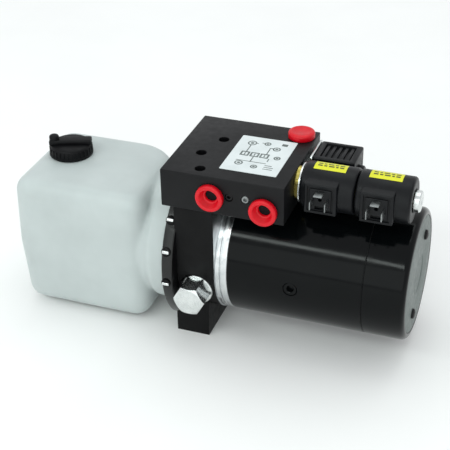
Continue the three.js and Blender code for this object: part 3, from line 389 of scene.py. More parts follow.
def bake_modifiers(made):
    """Gives a piece the mesh that its modifiers make, and removes them."""
    bpy.context.view_layer.update()
    done = bpy.data.meshes.new_from_object(made.evaluated_get(bpy.context.evaluated_depsgraph_get()))
    old = made.data
    made.modifiers.clear()
    made.data = done
    bpy.data.meshes.remove(old)


def modify(made, kind, **settings):
    modifier = made.modifiers.new(kind.lower(), kind)
    for key, value in settings.items():
        setattr(modifier, key, value)


def combine(operation, base, *others):
    """Joins, cuts or intersects solids exactly, and gives the result as a new bmesh."""
    body = as_object(base)
    tools = [as_object(other) for other in others]
    for tool in tools:
        modify(body, "BOOLEAN", operation=operation, solver="EXACT", object=tool)
    bake_modifiers(body)
    result = bmesh.new()
    result.from_mesh(body.data)
    for spare in [body, *tools]:
        mesh = spare.data
        bpy.data.objects.remove(spare)
        bpy.data.meshes.remove(mesh)
    settle(result)
    return result


def soften(made, look, width, segments=2, sharper_than=40):
    """Rounds a cut solid's sharp edges a little with a Bevel modifier, width in millimetres."""
    modify(
        made, "BEVEL", width=width * MM, segments=segments, limit_method="ANGLE",
        angle_limit=math.radians(sharper_than), use_clamp_overlap=True,
    )
    bake_modifiers(made)
    dress(made, look, 40)


# ---------------------------------------------------------------- tank

TANK_X1 = -40
TANK_TOP = 130
TANK_WALL = 3
TANK_HALF_W = 55.5
TANK_EDGE_R = 13
LEFT_R, FRONT_R, BACK_R = 14.5, 16, 44   # upright corners: away from the manifold, and beside it
UPPER_DRAFT, LOWER_DRAFT = 0.02, 0.06    # narrowing of each half, as a share of the half width
MOUTH_R = 14.5
VOXEL = 1.7


def tank_body():
    """The blow-moulded box, with its rounded corners, tapering both ways from mid height."""
    bm = slab((TANK_LOW.x, -TANK_HALF_W, TANK_LOW.z), (TANK_X1, TANK_HALF_W, TANK_TOP))
    for x, y_side, radius in ((TANK_LOW.x, 0, LEFT_R), (TANK_X1, -1, FRONT_R), (TANK_X1, 1, BACK_R)):
        chosen = [
            e for e in along(bm, Z) if abs(e.verts[0].co.x - x) < 1 and e.verts[0].co.y * y_side >= 0
            and abs(abs(e.verts[0].co.y) - TANK_HALF_W) < 1
        ]
        round_edges(bm, chosen, radius, 12)
    rims = [e for e in bm.edges if e.calc_face_angle() > CUBE_EDGE_ANGLE]
    round_edges(bm, rims, TANK_EDGE_R, 8)
    centre = Vector(((TANK_LOW.x + TANK_X1) / 2, 0, (TANK_LOW.z + TANK_TOP) / 2))
    half_height = TANK_TOP - centre.z
    geometry = bm.verts[:] + bm.edges[:] + bm.faces[:]
    bmesh.ops.bisect_plane(bm, geom=geometry, plane_co=centre, plane_no=Z)
    for vert in bm.verts:
        away = (vert.co.z - centre.z) / half_height
        scale = 1 - (UPPER_DRAFT if away > 0 else LOWER_DRAFT) * abs(away)
        vert.co.x = centre.x + (vert.co.x - centre.x) * scale
        vert.co.y *= scale
    return bm


def tank():
    neck_r = TANK_HIGH.y
    neck_end = TANK_HIGH.x
    neck = turned([
        (-62, 0), (-62, neck_r - 9), (TANK_X1 - 0.5, neck_r - 4), (-36, neck_r - 0.4),
        (-24.5, neck_r - 0.4), (-23.6, neck_r), (-21.4, neck_r), (-20.6, neck_r - 0.4),
        (neck_end, neck_r - 0.4), (neck_end, 0),
    ])
    made = piece(
        "oil_tank", combine("UNION", tank_body(), neck), natural_polyethylene,
        stands_for=["tank_shell"],
    )
    modify(made, "REMESH", mode="VOXEL", voxel_size=VOXEL * MM)
    modify(made, "SMOOTH", factor=0.5, iterations=5)
    bake_modifiers(made)
    open_tank(made, neck_end)
    modify(made, "SOLIDIFY", thickness=TANK_WALL * MM, offset=-1, use_even_offset=False)
    bake_modifiers(made)
    dress(made, natural_polyethylene, 70)
    filler_mouth()


def open_tank(made, neck_end):
    """Opens the skin at the neck's end and under the filler mouth, before it gets its wall."""
    bm = bmesh.new()
    bm.from_mesh(made.data)
    mouth = Vector((CAP.x, CAP.y)) * MM
    doomed = []
    for face in bm.faces:
        at = face.calc_center_median()
        at_neck = at.x > (neck_end - 1) * MM and face.normal.x > 0.7
        at_mouth = (at.xy - mouth).length < (MOUTH_R - 2) * MM and at.z > (TANK_TOP - 4) * MM
        if at_neck or at_mouth:
            doomed.append(face)
    bmesh.ops.delete(bm, geom=doomed, context="FACES")
    bm.to_mesh(made.data)
    bm.free()


def filler_mouth():
    """The threaded ring that the cap screws onto."""
    top = TANK_TOP + 6.5
    inner = MOUTH_R - TANK_WALL
    rings = []
    for base in (TANK_TOP + 1.6, TANK_TOP + 4):
        rings += [(base, MOUTH_R - 1), (base + 0.5, MOUTH_R - 0.2), (base + 1.1, MOUTH_R - 0.2),
                  (base + 1.6, MOUTH_R - 1)]
    bm = turned([
        (TANK_TOP - TANK_WALL - 0.5, inner), (TANK_TOP - TANK_WALL - 0.5, MOUTH_R - 0.4),
        (TANK_TOP, MOUTH_R + 2), (TANK_TOP + 0.3, MOUTH_R + 1.6), (TANK_TOP + 1, MOUTH_R - 1), *rings,
        (top - 0.4, MOUTH_R - 1), (top, MOUTH_R - 1.4), (top, inner),
        (TANK_TOP - TANK_WALL - 0.5, inner),
    ], 72, Z, Vector((CAP.x, CAP.y, 0)))
    piece("filler_mouth_thread", bm, natural_polyethylene)


CAP_SKIRT_H = 10.5
WING_TURN = math.pi / 9
RIBS = 30


def filler_cap():
    """Screw cap with a ribbed skirt, a grip bar, and a round vent at one end of the bar."""
    low, high = corners("filler_cap")
    centre = Vector((CAP.x, CAP.y, 0))
    base = low.z
    skirt_top = base + CAP_SKIRT_H
    radius = (high.x - low.x) / 2
    inside_top = TANK_TOP + 8.2
    skirt = turned([
        (base, 15.6), (base, radius - 0.5), (base + 0.5, radius), (base + 2.4, radius),
        (base + 2.8, radius - 0.7), (skirt_top - 3, radius - 1), (skirt_top - 1.3, radius - 1.7),
        (skirt_top - 0.4, radius - 3), (skirt_top, radius - 5), (skirt_top, 0), (inside_top, 0),
        (inside_top, 15), (base, 15.6),
    ], 120, Z, centre)
    ribs = []
    for index in range(RIBS):
        turn = index * 2 * math.pi / RIBS
        at = centre + Vector((math.cos(turn), math.sin(turn), 0)) * (radius - 0.9)
        at.z = (base + 2 + skirt_top - 2.5) / 2
        rib = turned_slab((1.3, 1.6, skirt_top - base - 4.5), at, turn)
        break_edges(rib, 0.35, 2)
        ribs.append(rib)
    grip = turned_slab((2 * radius - 1.4, 10.6, high.z - skirt_top - 2.8), centre, WING_TURN)
    bmesh.ops.translate(grip, vec=(0, 0, (high.z + skirt_top - 5.5) / 2), verts=grip.verts)
    break_edges(grip, 1.6, 4)
    vent_at = centre - Matrix.Rotation(WING_TURN, 3, "Z") @ Vector((radius - 5.2, 0, 0))
    vent = turned([
        (skirt_top - 1, 0), (skirt_top - 1, 4.4), (high.z - 1.8, 4.4), (high.z - 0.9, 3.9),
        (high.z - 0.3, 2.9), (high.z, 1.6), (high.z, 0),
    ], 36, Z, vent_at)
    bm = add_to(skirt, *ribs, grip, vent)
    piece("filler_cap_moulding", bm, moulded_nylon, "filler_cap", ["filler_cap"])


# ---------------------------------------------------------------- manifold

FLANGE_X0, FLANGE_X1 = -18, -8.5
BODY_HALF = MOTOR_R + 1
BODY_X1 = MANIFOLD_HIGH.x
FOOT_HALF = Vector((15, 47.5))
FOOT_H = 36
FOOT_HOLE_Y, FOOT_HOLE_R, FOOT_HOLE_DEPTH = 34, 4.2, 16
SPOTFACE = 6
HEX_PLUG_ACROSS = 24.5
BARE_FACE, RIM_FACE = 1, 2               # places in the casting's list of materials


def manifold():
    """The centre body: flange, barrel, head under the valve block, and the foot."""
    rim = MANIFOLD_HIGH.y
    top = MANIFOLD_HIGH.z
    flange = turned([
        (FLANGE_X0, 0), (FLANGE_X0, rim - 0.8), (FLANGE_X0 + 0.8, rim), (FLANGE_X1 - 0.8, rim),
        (FLANGE_X1, rim - 0.8), (FLANGE_X1, 0),
    ], 160)
    barrel = rod(FLANGE_X1 - 2, BODY_X1 - 0.02, BODY_HALF, 160)
    head = slab((FLANGE_X1 - 1, -BODY_HALF, AXIS.z), (BODY_X1, BODY_HALF, top))
    foot = slab((-FOOT_HALF.x, -FOOT_HALF.y, 0), (FOOT_HALF.x, FOOT_HALF.y, FOOT_H))
    above = slab((-60, -90, top), (60, 90, top + 40))
    plug = middle("hex_plug")
    plug_axis = Vector((plug.x, 0, plug.z))
    collar_r = (corners("hex_plug")[1].x - corners("hex_plug")[0].x) / 2
    spotface = rod(BODY_HALF - SPOTFACE, BODY_HALF + 12, collar_r + 0.7, 64, FRONT, plug_axis)
    holes = [
        rod(-1, FOOT_HOLE_DEPTH, FOOT_HOLE_R, 32, Z, Vector((0, side * FOOT_HOLE_Y, 0))) for side in (-1, 1)
    ]
    solid = combine("UNION", flange, barrel, head, foot)
    solid = combine("DIFFERENCE", solid, above, spotface, *holes)
    made = piece("manifold_casting", solid, painted_casting, stands_for=["manifold_body"])
    soften(made, painted_casting, 0.6, 3)
    made.data.materials.append(turned_aluminium)
    made.data.materials.append(rim_enamel)
    for polygon in made.data.polygons:
        at = polygon.center / MM
        if polygon.normal.x > 0.99 and at.x > BODY_X1 - 0.1:
            polygon.material_index = BARE_FACE
        elif at.x < FLANGE_X1 and (at - AXIS).yz.length > BODY_HALF:
            polygon.material_index = RIM_FACE


def rim_screws():
    """Painted-over screw heads round the flange, each with a bright zinc bar across its top that is a
    painted highlight for the head's glint.
    """
    seat = MANIFOLD_HIGH.y + 0.3
    for index in range(1, 7):
        node = f"rim_screw_{index}"
        centre = middle(node)
        outward = Vector((0, centre.y, centre.z - AXIS.z)).normalized()
        hub = Vector((centre.x, 0, AXIS.z))
        head = turned([
            (seat - 8, 0), (seat - 8, 2.4), (seat, 2.4), (seat, 4.2), (seat + 0.8, 4.1), (seat + 1.3, 3.4),
            (seat + 1.4, 0),
        ], 32, outward, hub)
        piece(f"rim_screw_head_{index}", head, painted_casting, stands_for=[node])
        # The bright zinc bar is a painted highlight: it stands in for the glint on each screw head.
        bar = bmesh.new()
        place = Matrix((X * 6.4, outward.cross(X) * 2.8, outward * 1.6)).transposed().to_4x4()
        place.translation = hub + outward * (seat + 1.6)
        bmesh.ops.create_cube(bar, size=1.0, matrix=place)
        settle(bar)
        break_edges(bar, 0.7, 3)
        piece(f"rim_screw_glint_bar_{index}", bar, zinc_plate)


def hex_plug():
    """The plug over the relief valve: a flanged hexagon with turned corners."""
    low, high = corners("hex_plug")
    centre = Vector(((low.x + high.x) / 2, 0, (low.z + high.z) / 2))
    collar = (high.x - low.x) / 2
    seat = BODY_HALF - SPOTFACE + 0.1
    tip = -low.y
    flange = turned([
        (seat, 0), (seat, collar - 0.4), (seat + 0.4, collar), (seat + 4.4, collar),
        (seat + 5.6, collar - 0.6), (seat + 6, collar - 1.8), (seat + 6, 0),
    ], 72, FRONT, centre)
    across = HEX_PLUG_ACROSS
    bar = hexagon(across, seat + 5.5, tip, FRONT, centre, math.pi / 6)
    turned_ends = turned([
        (seat + 3, 0), (seat + 3, 15), (tip - 2, 14.4), (tip - 0.6, across / 2 + 0.3),
        (tip, across / 2 - 0.8), (tip, 0),
    ], 96, FRONT, centre)
    bar = combine("INTERSECT", bar, turned_ends)
    made = piece(
        "relief_hex_plug", add_to(flange, bar), zinc_plate, stands_for=["hex_plug"], smooth_under=25,
    )
    soften(made, zinc_plate, 0.25, 2, 28)


# ---------------------------------------------------------------- motor

def drive_end_ring():
    """The bright ring between manifold and motor, with a narrow groove."""
    start, end = corners("drive_bracket")[0].x, SHELL_LOW.x - 0.1
    r = MOTOR_R
    bm = turned([
        (start, 18), (start, r - 0.4), (start + 0.4, r), (start + 3.6, r), (start + 3.9, r - 0.3),
        (start + 4.1, r - 1.2), (start + 4.9, r - 1.2), (start + 5.1, r - 0.3), (start + 5.4, r),
        (end - 0.4, r), (end, r - 0.4), (end, 18), (start, 18),
    ], 180)
    piece("drive_end_ring", bm, turned_aluminium, stands_for=["drive_bracket"])


def motor_tube():
    start, end, r = SHELL_LOW.x, SHELL_HIGH.x, MOTOR_R
    seam = end - 0.6
    tube = turned([
        (start, r - 4), (start, r - 0.5), (start + 0.5, r), (seam - 0.2, r), (seam, r - 0.2),
        (seam, r - 4), (start, r - 4),
    ], 180)
    at = Vector((POLE_X, 0, AXIS.z))
    sinks = [
        turned([(r - 6, 0), (r - 6, 6.3), (r - 0.5, 6.3), (r + 0.5, 7.2), (r + 0.5, 0)], 48, side, at)
        for side in (FRONT, Y)
    ]
    bm = combine("DIFFERENCE", tube, *sinks)
    piece("motor_tube", bm, gloss_enamel, stands_for=["motor_shell"], smooth_under=30)
    joint = turned([
        (seam + 0.02, r - 4), (seam + 0.02, r - 0.3), (seam + 0.2, r - 0.05), (end - 0.15, r - 0.05),
        (end + 0.01, r - 0.3), (end + 0.01, r - 4), (seam + 0.02, r - 4),
    ], 180)
    piece("motor_joint_ring", joint, black_oxide_steel)
    for index, side in ((1, FRONT), (2, Y)):
        screw = turned([
            (r - 6, 0), (r - 6, 6), (r - 1.1, 6), (r - 0.7, 5.6), (r - 0.6, 3.6), (r - 1, 3.1),
            (r - 4, 2.9), (r - 4, 0),
        ], 48, side, at)
        node = f"pole_screw_{index}"
        piece(f"pole_screw_face_{index}", screw, gloss_enamel, stands_for=[node])


EDGE_R = 5


def end_cover():
    """The drawn end cover, its bare pressed face, and the two long screws' heads."""
    low, high = corners("motor_end_cover")
    start, end, r = low.x, high.x, MOTOR_R
    arc = [
        (end - EDGE_R + EDGE_R * math.sin(turn), r - EDGE_R + EDGE_R * math.cos(turn))
        for turn in (math.radians(15 * step) for step in range(0, 6))
    ]
    cover = turned([
        (start + 0.02, r - 4), (start + 0.02, r - 0.25), (start + 0.3, r), *arc, (end - 0.1, r - 5.4),
        (end - 0.5, r - 5.9), (end - 0.8, r - 6), (end - 0.8, r - 9), (start + 20, r - 9),
        (start + 20, r - 4), (start + 0.02, r - 4),
    ], 180)
    piece(
        "end_cover_drawing", cover, gloss_enamel, stands_for=["motor_end_cover"],
        smooth_under=30,
    )
    face = turned([
        (end - 3, 0), (end - 3, r - 6.1), (end - 0.7, r - 6.1), (end - 0.2, r - 6.8), (end - 0.1, r - 8),
        (end - 0.1, 18.5), (end - 0.4, 17.6), (end - 0.9, 17), (end - 0.9, 0),
    ], 160)
    piece("end_cover_face", face, grey_primer)
    for index in (1, 2):
        node = f"end_screw_{index}"
        centre = middle(node)
        tip = corners(node)[1].x
        head = turned([
            (end - 4, 0), (end - 4, 2.4), (end - 0.05, 2.4), (end - 0.05, 4.4), (tip - 1, 4.3),
            (tip - 0.3, 3.5), (tip, 2.1), (tip, 0),
        ], 36, X, Vector((0, centre.y, centre.z)))
        at = (tip, centre.y, centre.z)
        cross = [turned_slab((2, 5, 0.9), at, turn, "X") for turn in (0.5, 0.5 + math.pi / 2)]
        bm = combine("DIFFERENCE", head, *cross)
        piece(f"end_screw_head_{index}", bm, black_oxide_steel, stands_for=[node])


# ---------------------------------------------------------------- valve block

TOP = BLOCK_HIGH.z
FACE = -BLOCK_LOW.y
PORT_R, TOP_PORT_R = 9.5, 8
PLUG_MOUTH_R, PLUG_HOLE_R = 8.5, 5.2     # the funnel in a work port's plug, and the hole behind it
SCREW_HEAD_R, COUNTERBORE, SCREW_SUNK = 4.2, 12, 6
PILOT_R = 3.2


def upright_at(node):
    centre = middle(node)
    return Vector((centre.x, centre.y, 0))


def facing_at(node):
    centre = middle(node)
    return Vector((centre.x, 0, centre.z))


def valve_block():
    bm = slab(BLOCK_LOW, BLOCK_HIGH)
    break_edges(bm, 0.7, 3)
    cutters = []
    for index in (1, 2, 3):
        cutters.append(turned([
            (TOP - COUNTERBORE, 0), (TOP - COUNTERBORE, SCREW_HEAD_R + 0.3), (TOP - 0.3, SCREW_HEAD_R + 0.3),
            (TOP + 0.5, SCREW_HEAD_R + 1.1), (TOP + 0.5, 0),
        ], 48, Z, upright_at(f"block_screw_{index}")))
    for side in ("left", "right"):
        cutters.append(rod(FACE - 16, FACE + 1, PORT_R + 0.2, 64, FRONT, facing_at(f"port_plug_{side}")))
    for index in (1, 2):
        cutters.append(turned([
            (FACE - 8, 0), (FACE - 8, PILOT_R + 0.3), (FACE - 0.3, PILOT_R + 0.3),
            (FACE + 0.5, PILOT_R + 1.1), (FACE + 0.5, 0),
        ], 40, FRONT, facing_at(f"pilot_plug_{index}")))
    cutters.append(rod(TOP - 14, TOP + 1, TOP_PORT_R + 0.2, 56, Z, upright_at("port_plug_top")))
    for row, radius in ((FRONT_VALVE, 9.8), (REAR_VALVE, 8.8)):
        cutters.append(rod(BLOCK_HIGH.x - 12, BLOCK_HIGH.x + 1, radius, 56, X, row))
    bm = combine("DIFFERENCE", bm, *cutters)
    piece(
        "valve_block_body", bm, black_anodised_aluminium, stands_for=["valve_block"],
        smooth_under=30,
    )


def block_screws():
    """Socket-head screws, sunk in their counterbores."""
    head_top = TOP - SCREW_SUNK
    for index in (1, 2, 3):
        node = f"block_screw_{index}"
        head = turned([
            (TOP - COUNTERBORE + 0.1, 0), (TOP - COUNTERBORE + 0.1, SCREW_HEAD_R),
            (head_top - 0.5, SCREW_HEAD_R), (head_top, SCREW_HEAD_R - 0.5), (head_top, 0),
        ], 48, Z, upright_at(node))
        socket = hexagon(4, head_top - 2.5, head_top + 1, Z, upright_at(node), 0.3 * index)
        bm = combine("DIFFERENCE", head, socket)
        piece(f"block_screw_head_{index}", bm, black_oxide_steel, stands_for=[node])


def pilot_plugs():
    """Two small socket plugs in the front face; the first sits deeper and has dulled."""
    for index, sink, look in ((1, 1.2, black_oxide_steel), (2, 0.2, dull_zinc)):
        node = f"pilot_plug_{index}"
        face = FACE - sink
        plug = turned([
            (FACE - 7, 0), (FACE - 7, PILOT_R), (face - 0.4, PILOT_R), (face, PILOT_R - 0.4), (face, 0),
        ], 36, FRONT, facing_at(node))
        socket = hexagon(3, face - 2, face + 1, FRONT, facing_at(node))
        bm = combine("DIFFERENCE", plug, socket)
        piece(f"pilot_plug_face_{index}", bm, look, stands_for=[node])


def block_label():
    """A plain film with a generic circuit drawing: boxes, pipes and round pump symbols."""
    low, high = corners("block_label")
    bm = slab(low, high)
    round_edges(bm, along(bm, Z, 0.1), 1, 4)
    piece("block_label_film", bm, white_label, stands_for=["block_label"])
    floor, crown = high.z - 0.05, high.z + 0.04
    marks = bmesh.new()

    def bar(x0, y0, x1, y1):
        add_to(marks, slab((low.x + x0, low.y + y0, floor), (low.x + x1, low.y + y1, crown)))

    def outline(x0, y0, x1, y1, line=1.5):
        bar(x0, y0, x1, y0 + line)
        bar(x0, y1 - line, x1, y1)
        bar(x0, y0 + line, x0 + line, y1 - line)
        bar(x1 - line, y0 + line, x1, y1 - line)

    def symbol(x, y, radius):
        centre = Vector((low.x + x, low.y + y, 0))
        add_to(marks, turned([
            (floor, radius - 1.2), (floor, radius), (crown, radius), (crown, radius - 1.2),
            (floor, radius - 1.2),
        ], 32, Z, centre))
        add_to(marks, rod(floor, crown, radius * 0.4, 16, Z, centre))

    for column in range(3):
        x = 8 + column * 8.5
        outline(x, 27, x + 7.6, 34.5)
        bar(x + 3.3, 29, x + 4.3, 32.5)
    for x, y, radius in ((12, 50, 4), (25, 52, 3), (35, 45, 3.4), (40, 30, 3), (12, 14, 3.6), (26, 11, 3)):
        symbol(x, y, radius)
    for x0, y0, x1, y1 in (
        (11.5, 34.5, 12.4, 46), (29, 34.5, 29.9, 45), (29, 45, 32, 45.9), (20, 18, 20.9, 27),
        (8, 18, 34, 18.9), (33.5, 22, 34.4, 27), (34, 9, 42, 10), (34, 12, 42, 13), (34, 15, 40, 16),
        (20, 52, 22, 52.9), (16, 50, 17.5, 50.9), (37, 52, 42, 56),
    ):
        bar(x0, y0, x1, y1)
    piece("block_label_print", marks, grey_ink)


def port_plugs():
    """Thin-walled transport plugs in the two work ports, and a solid-topped one above."""
    for side in ("left", "right"):
        node = f"port_plug_{side}"
        r = (corners(node)[1].x - corners(node)[0].x) / 2
        bore = PORT_R - 0.3
        plug = turned([
            (FACE - 13.8, 0), (FACE - 13.8, bore - 0.6), (FACE - 13, bore), (FACE + 0.1, bore),
            (FACE + 0.1, r - 0.3), (FACE + 0.4, r), (FACE + 3.8, r), (FACE + 4.6, r - 0.4),
            (FACE + 5, r - 1.2), (FACE + 5, PLUG_MOUTH_R + 0.3), (FACE + 4.7, PLUG_MOUTH_R - 0.1),
            (FACE - 0.8, 6.7), (FACE - 1, 6.3), (FACE - 1, PLUG_HOLE_R + 0.3), (FACE - 1.3, PLUG_HOLE_R),
            (FACE - 11.9, PLUG_HOLE_R), (FACE - 11.9, 0),
        ], 80, FRONT, facing_at(node))
        piece(
            f"work_port_plug_{side}", plug, red_polyethylene, f"plug_{side}", [node],
            smooth_under=50,
        )
        # A dark nylon core deep in each plug's hole: painted shade, a dark stand-in for the shadow inside
        # the hole.
        core = rod(FACE - 11.8, FACE - 3.2, PLUG_HOLE_R - 0.1, 48, FRONT, facing_at(node))
        piece(f"work_port_painted_shade_{side}", core, moulded_nylon, f"plug_{side}")
    node = "port_plug_top"
    r = (corners(node)[1].x - corners(node)[0].x) / 2
    plug = turned([
        (TOP - 12, 0), (TOP - 12, TOP_PORT_R - 0.6), (TOP + 0.1, TOP_PORT_R - 0.4), (TOP + 0.1, r - 0.3),
        (TOP + 0.4, r), (TOP + 4.1, r), (TOP + 5.1, r - 0.5), (TOP + 5.7, r - 1.6), (TOP + 6, r - 3.4),
        (TOP + 5.4, r - 4.4), (TOP + 5.3, 0),
    ], 80, Z, upright_at(node))
    piece("top_port_plug", plug, red_polyethylene, "plug_top", [node], smooth_under=50)


# ---------------------------------------------------------------- solenoid valves

COIL_R = 19.3
SOCKET_AT = 19
SOCKET_HALF = 13.5
SOCKET_REACH = 23
TUBE_R = 7
BLADE_SPREAD = 6.2
LABEL_INSET, LABEL_LENGTH = 8.4, 26.6
RIB_COUNT = 5


def round_coil(index):
    """A moulded coil round the front valve's tube, with a square plug socket facing the front."""
    node = f"coil_{index}"
    low, high = corners(node)
    x0, x1, row, r = low.x, high.x, FRONT_VALVE, COIL_R
    barrel = turned([
        (x0, 10), (x0, r - 2), (x0 + 0.6, r - 0.8), (x0 + 2, r), (x1 - 2, r), (x1 - 0.6, r - 0.8),
        (x1, r - 2), (x1, 10), (x0, 10),
    ], 120, X, row)
    middle_x = x0 + SOCKET_AT
    face = row.y - SOCKET_REACH

    def block(half_x, half_z, near, far, edge=0.0, up=0.0):
        """A box about the socket's middle, from one distance ahead of the face to another."""
        bm = slab(
            (middle_x - half_x, face - far, row.z + up - half_z),
            (middle_x + half_x, face - near, row.z + up + half_z),
        )
        if edge:
            break_edges(bm, edge, 3)
        return bm

    socket = block(SOCKET_HALF, SOCKET_HALF, -14, 0, 1.2)
    recess = block(10.8, 10.8, -1.4, 2)
    boss = block(9.2, 9.2, -3, -0.15, 0.7)
    key = block(4.6, 1.6, -3, -0.15, 0.4, -7.4)
    solid = combine("UNION", barrel, socket)
    solid = combine("DIFFERENCE", solid, recess)
    solid = combine("UNION", solid, boss)
    screw_hole = rod(-face - 9, -face + 1, 1.6, 24, FRONT, Vector((middle_x, 0, row.z)))
    solid = combine("DIFFERENCE", solid, screw_hole, key)
    made = piece(f"solenoid_{index}", solid, glass_filled_nylon, stands_for=[node])
    soften(made, glass_filled_nylon, 0.3, 2, 45)
    upright = [
        slab((x - 0.5, face - 8, row.z - 6), (x + 0.5, face + 1, row.z + 1))
        for x in (middle_x - BLADE_SPREAD, middle_x + BLADE_SPREAD)
    ]
    earth = slab((middle_x - 3.5, face - 8, row.z + 6.5), (middle_x + 3.5, face + 1, row.z + 7.5))
    blades = add_to(*upright, earth)
    break_edges(blades, 0.25, 2)
    piece(f"solenoid_blades_{index}", blades, dull_zinc)
    coil_label(index, x0 + LABEL_INSET, LABEL_LENGTH)


LABEL_FIRST, LABEL_SWEEP = 70, 38       # degrees from the back, up and over towards the front
DASHES = (3.4, 2, 4.6, 2.6, 3.8)        # lengths of the print's dashes, with equal gaps


def bent_patch(start, length, first, sweep, low, high):
    """A thin patch bent round the front coils, between two heights above their moulding."""
    begin = math.radians(first)
    outward = Vector((0, math.cos(begin), math.sin(begin)))
    bm = bmesh.new()
    outline = ((start, low), (start + length, low), (start + length, high), (start, high))
    verts = [bm.verts.new(FRONT_VALVE + X * x + outward * (COIL_R + lift)) for x, lift in outline]
    face = bm.faces.new(verts)
    bmesh.ops.spin(
        bm, geom=[face], cent=FRONT_VALVE, axis=X, angle=math.radians(sweep), steps=max(3, int(sweep / 3)),
        use_merge=False,
    )
    settle(bm)
    return bm


def coil_label(index, start, length):
    """A yellow label bent over a coil, with two rows of plain dark dashes for its print."""
    label = bent_patch(start, length, LABEL_FIRST, LABEL_SWEEP, 0.03, 0.15)
    piece(f"solenoid_label_{index}", label, yellow_label)
    gap = 1.3
    margin = (length - sum(DASHES) - gap * (len(DASHES) - 1)) / 2
    rows = bmesh.new()
    for row, first in enumerate((LABEL_FIRST + 10, LABEL_FIRST + 20)):
        at = start + margin
        for dash in DASHES[::-1] if row else DASHES:
            add_to(rows, bent_patch(at, dash, first, 5.5, 0.1, 0.2))
            at += dash + gap
    piece(f"solenoid_print_{index}", rows, dark_ink)


def rear_coil():
    """The square coil behind, with a shallow recess on top that holds a ribbed cover."""
    low, high = corners("rear_coil")
    body = slab(low, high)
    break_edges(body, 1.6, 4)
    pocket = slab((low.x + 5, low.y + 4, high.z - 3), (high.x - 5, high.y - 4, high.z + 1))
    grooves = [
        slab((low.x - 1, low.y - 1, high.z - down), (high.x + 1, low.y + 0.8, high.z - down + 1.2))
        for down in (12, 22)
    ]
    bore = rod(low.x - 1, high.x + 1, TUBE_R + 0.3, 48, X, REAR_VALVE)
    solid = combine("DIFFERENCE", body, pocket, bore, *grooves)
    pitch = (high.x - low.x - 10) / RIB_COUNT
    ribs = []
    for index in range(RIB_COUNT):
        x = low.x + 5 + pitch * (index + 0.25)
        ribs.append(slab((x, low.y + 5.5, high.z - 4), (x + pitch / 2, high.y - 5.5, high.z - 0.9)))
    solid = combine("UNION", solid, *ribs)
    made = piece("rear_solenoid", solid, glass_filled_nylon, stands_for=["rear_coil"])
    soften(made, glass_filled_nylon, 0.35, 2, 45)


def coil_plates():
    """The round washer before the front coils and the square plate before the rear one."""
    low, high = corners("coil_washer")
    r = (high.z - low.z) / 2
    washer = turned([
        (low.x, TUBE_R + 0.3), (low.x, r - 0.3), (low.x + 0.3, r), (high.x - 0.3, r), (high.x, r - 0.3),
        (high.x, TUBE_R + 0.3), (low.x, TUBE_R + 0.3),
    ], 80, X, FRONT_VALVE)
    piece("coil_seat_washer", washer, zinc_plate, stands_for=["coil_washer"])
    low, high = corners("rear_coil_plate")
    plate = slab(low, high)
    round_edges(plate, along(plate, X, 1), 2, 4)
    bore = rod(low.x - 1, high.x + 1, TUBE_R + 0.3, 48, X, REAR_VALVE)
    made = piece(
        "rear_seat_plate", combine("DIFFERENCE", plate, bore), zinc_plate,
        stands_for=["rear_coil_plate"],
    )
    soften(made, zinc_plate, 0.2)


def cartridge(node, name, look, across, plate, row):
    """The hexagon that shows beside the block, and the valve's tube through the coils."""
    x0 = BLOCK_HIGH.x + 0.06
    hex_end = corners(plate)[0].x - 0.06
    tip = corners(node)[1].x
    bar = hexagon(across, x0, hex_end, X, row, math.pi / 6)
    ends = turned([
        (x0 - 1, 0), (x0 - 1, 14), (x0, across / 2), (x0 + 0.5, across / 2 + 1.2),
        (hex_end - 0.5, across / 2 + 1.2), (hex_end, across / 2), (hex_end + 1, 0),
    ], 72, X, row)
    bar = combine("INTERSECT", bar, ends)
    tube = turned([
        (x0 - 8, 0), (x0 - 8, TUBE_R), (tip - 1, TUBE_R), (tip, TUBE_R - 1), (tip, 0),
    ], 56, X, row)
    piece(name, add_to(bar, tube), look, stands_for=[node])


def coil_nut(node, name, look, row):
    """A smooth round cap nut on the end of a valve tube, with a small blind hole in its face."""
    low, high = corners(node)
    r = (high.z - low.z) / 2
    nut = turned([
        (low.x, TUBE_R + 0.3), (low.x, r - 0.5), (low.x + 0.5, r), (high.x - 0.9, r), (high.x, r - 0.9),
        (high.x, 3.2), (high.x - 1.4, 2.6), (high.x - 1.4, 0), (high.x - 2.2, 0),
        (high.x - 2.2, TUBE_R + 0.3), (low.x, TUBE_R + 0.3),
    ], 72, X, row)
    piece(name, nut, look, stands_for=[node])


# ---------------------------------------------------------------- inner pieces keep their CAD shape

INNER_LOOKS = (
    (nitrile_rubber, ["tank_seal", "cap_gasket"]),
    (ground_steel, ["relief_poppet", "drive_gear", "driven_gear", "front_bearing", "coupling"]),
    (ground_steel, ["rotor_shaft", "front_valve_spool", "rear_valve_plunger", "suction_strainer"]),
    (turned_aluminium, ["pump_housing"]),
    (cast_iron, ["pump_cover", "armature_core"]),
    (turned_copper, ["commutator"]),
    (sintered_ferrite, ["pole_1", "pole_2", "brush_1", "brush_2"]),
    (moulded_nylon, ["suction_tube"]),
    (glass_filled_nylon, ["brush_holder"]),
)


def inner_pieces():
    for look, nodes in INNER_LOOKS:
        for node in nodes:
            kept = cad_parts[node]
            kept.data.materials.clear()
            kept.data.materials.append(look)


# ---------------------------------------------------------------- floor, light and camera

def softbox(name, toward, distance, size, radiance):
    """A rectangular lamp in a direction from the object, of a width and height in metres."""
    data = bpy.data.lights.new(name, "AREA")
    data.shape = "RECTANGLE"
    data.size, data.size_y = size
    data.energy = radiance * size[0] * size[1] * math.pi
    data.color = linear("#edf8f4")[:3]
    lamp = bpy.data.objects.new(name, data)
    bpy.context.scene.collection.objects.link(lamp)
    aim = Vector((0.03, 0, 0.09))
    lamp.location = aim + Vector(toward).normalized() * distance
    lamp.rotation_euler = (aim - lamp.location).to_track_quat("-Z", "Y").to_euler()


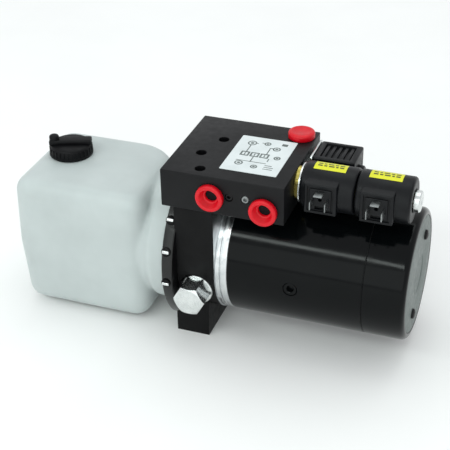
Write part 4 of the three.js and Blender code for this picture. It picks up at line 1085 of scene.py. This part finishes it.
def studio():
    floor_bm = bmesh.new()
    bmesh.ops.create_grid(floor_bm, x_segments=1, y_segments=1, size=4.0)
    floor = as_object(floor_bm, "floor")
    floor.data.materials.append(finish_of(
        "pale_floor", "#f3f3f2", "#f7f7f6", (0.7, 0.8), {"IOR": 1.4, "Specular IOR Level": 0.2},
        patch=200, pit=9,
    ))
    world = bpy.data.worlds.new("studio")
    bpy.context.scene.world = world
    world.use_nodes = True
    backdrop = world.node_tree.nodes["Background"]
    backdrop.inputs["Color"].default_value = linear("#fbfdff")
    backdrop.inputs["Strength"].default_value = 0.88
    softbox("strip_softbox", (-0.22, -0.69, 0.66), 1.5, (1.5, 0.12), 10)
    softbox("front_softbox", (0.1, -1.0, 0.3), 1.6, (1.8, 0.9), 0.8)
    softbox("overhead_softbox", (0.0, 0.25, 1.0), 1.8, (1.4, 1.2), 1.3)
    bpy.context.scene.view_settings.view_transform = "Standard"


def aim_camera():
    """The camera: 20.5 degrees round to the motor's end, 31.6 degrees up, and a slight roll."""
    data = bpy.data.cameras.new("camera")
    data.sensor_width = 36
    data.lens = 92
    camera = bpy.data.objects.new("camera", data)
    bpy.context.scene.collection.objects.link(camera)
    azimuth, elevation, roll = math.radians(20.5), math.radians(31.6), math.radians(-1.1)
    away = Vector((math.sin(azimuth), -math.cos(azimuth), 0))
    back = away * math.cos(elevation) + Z * math.sin(elevation)
    level = Vector((math.cos(azimuth), math.sin(azimuth), 0))
    upward = back.cross(level)
    right = math.cos(roll) * level + math.sin(roll) * upward
    up = math.cos(roll) * upward - math.sin(roll) * level
    target = Vector((0.0228, -0.0232, 0.1021))
    place = Matrix((right, up, back)).transposed().to_4x4()
    place.translation = target + back * 0.986
    camera.matrix_world = place
    bpy.context.scene.camera = camera


tank()
filler_cap()
manifold()
rim_screws()
hex_plug()
drive_end_ring()
motor_tube()
end_cover()
valve_block()
block_screws()
pilot_plugs()
block_label()
port_plugs()
round_coil(1)
round_coil(2)
rear_coil()
coil_plates()
cartridge("front_valve_body", "front_valve_hexagon", turned_brass, 27, "coil_washer", FRONT_VALVE)
cartridge("rear_valve_body", "rear_valve_hexagon", zinc_plate, 24, "rear_coil_plate", REAR_VALVE)
coil_nut("front_coil_nut", "front_tube_nut", zinc_plate, FRONT_VALVE)
coil_nut("rear_coil_nut", "rear_tube_nut", glass_filled_nylon, REAR_VALVE)
inner_pieces()
studio()
aim_camera()
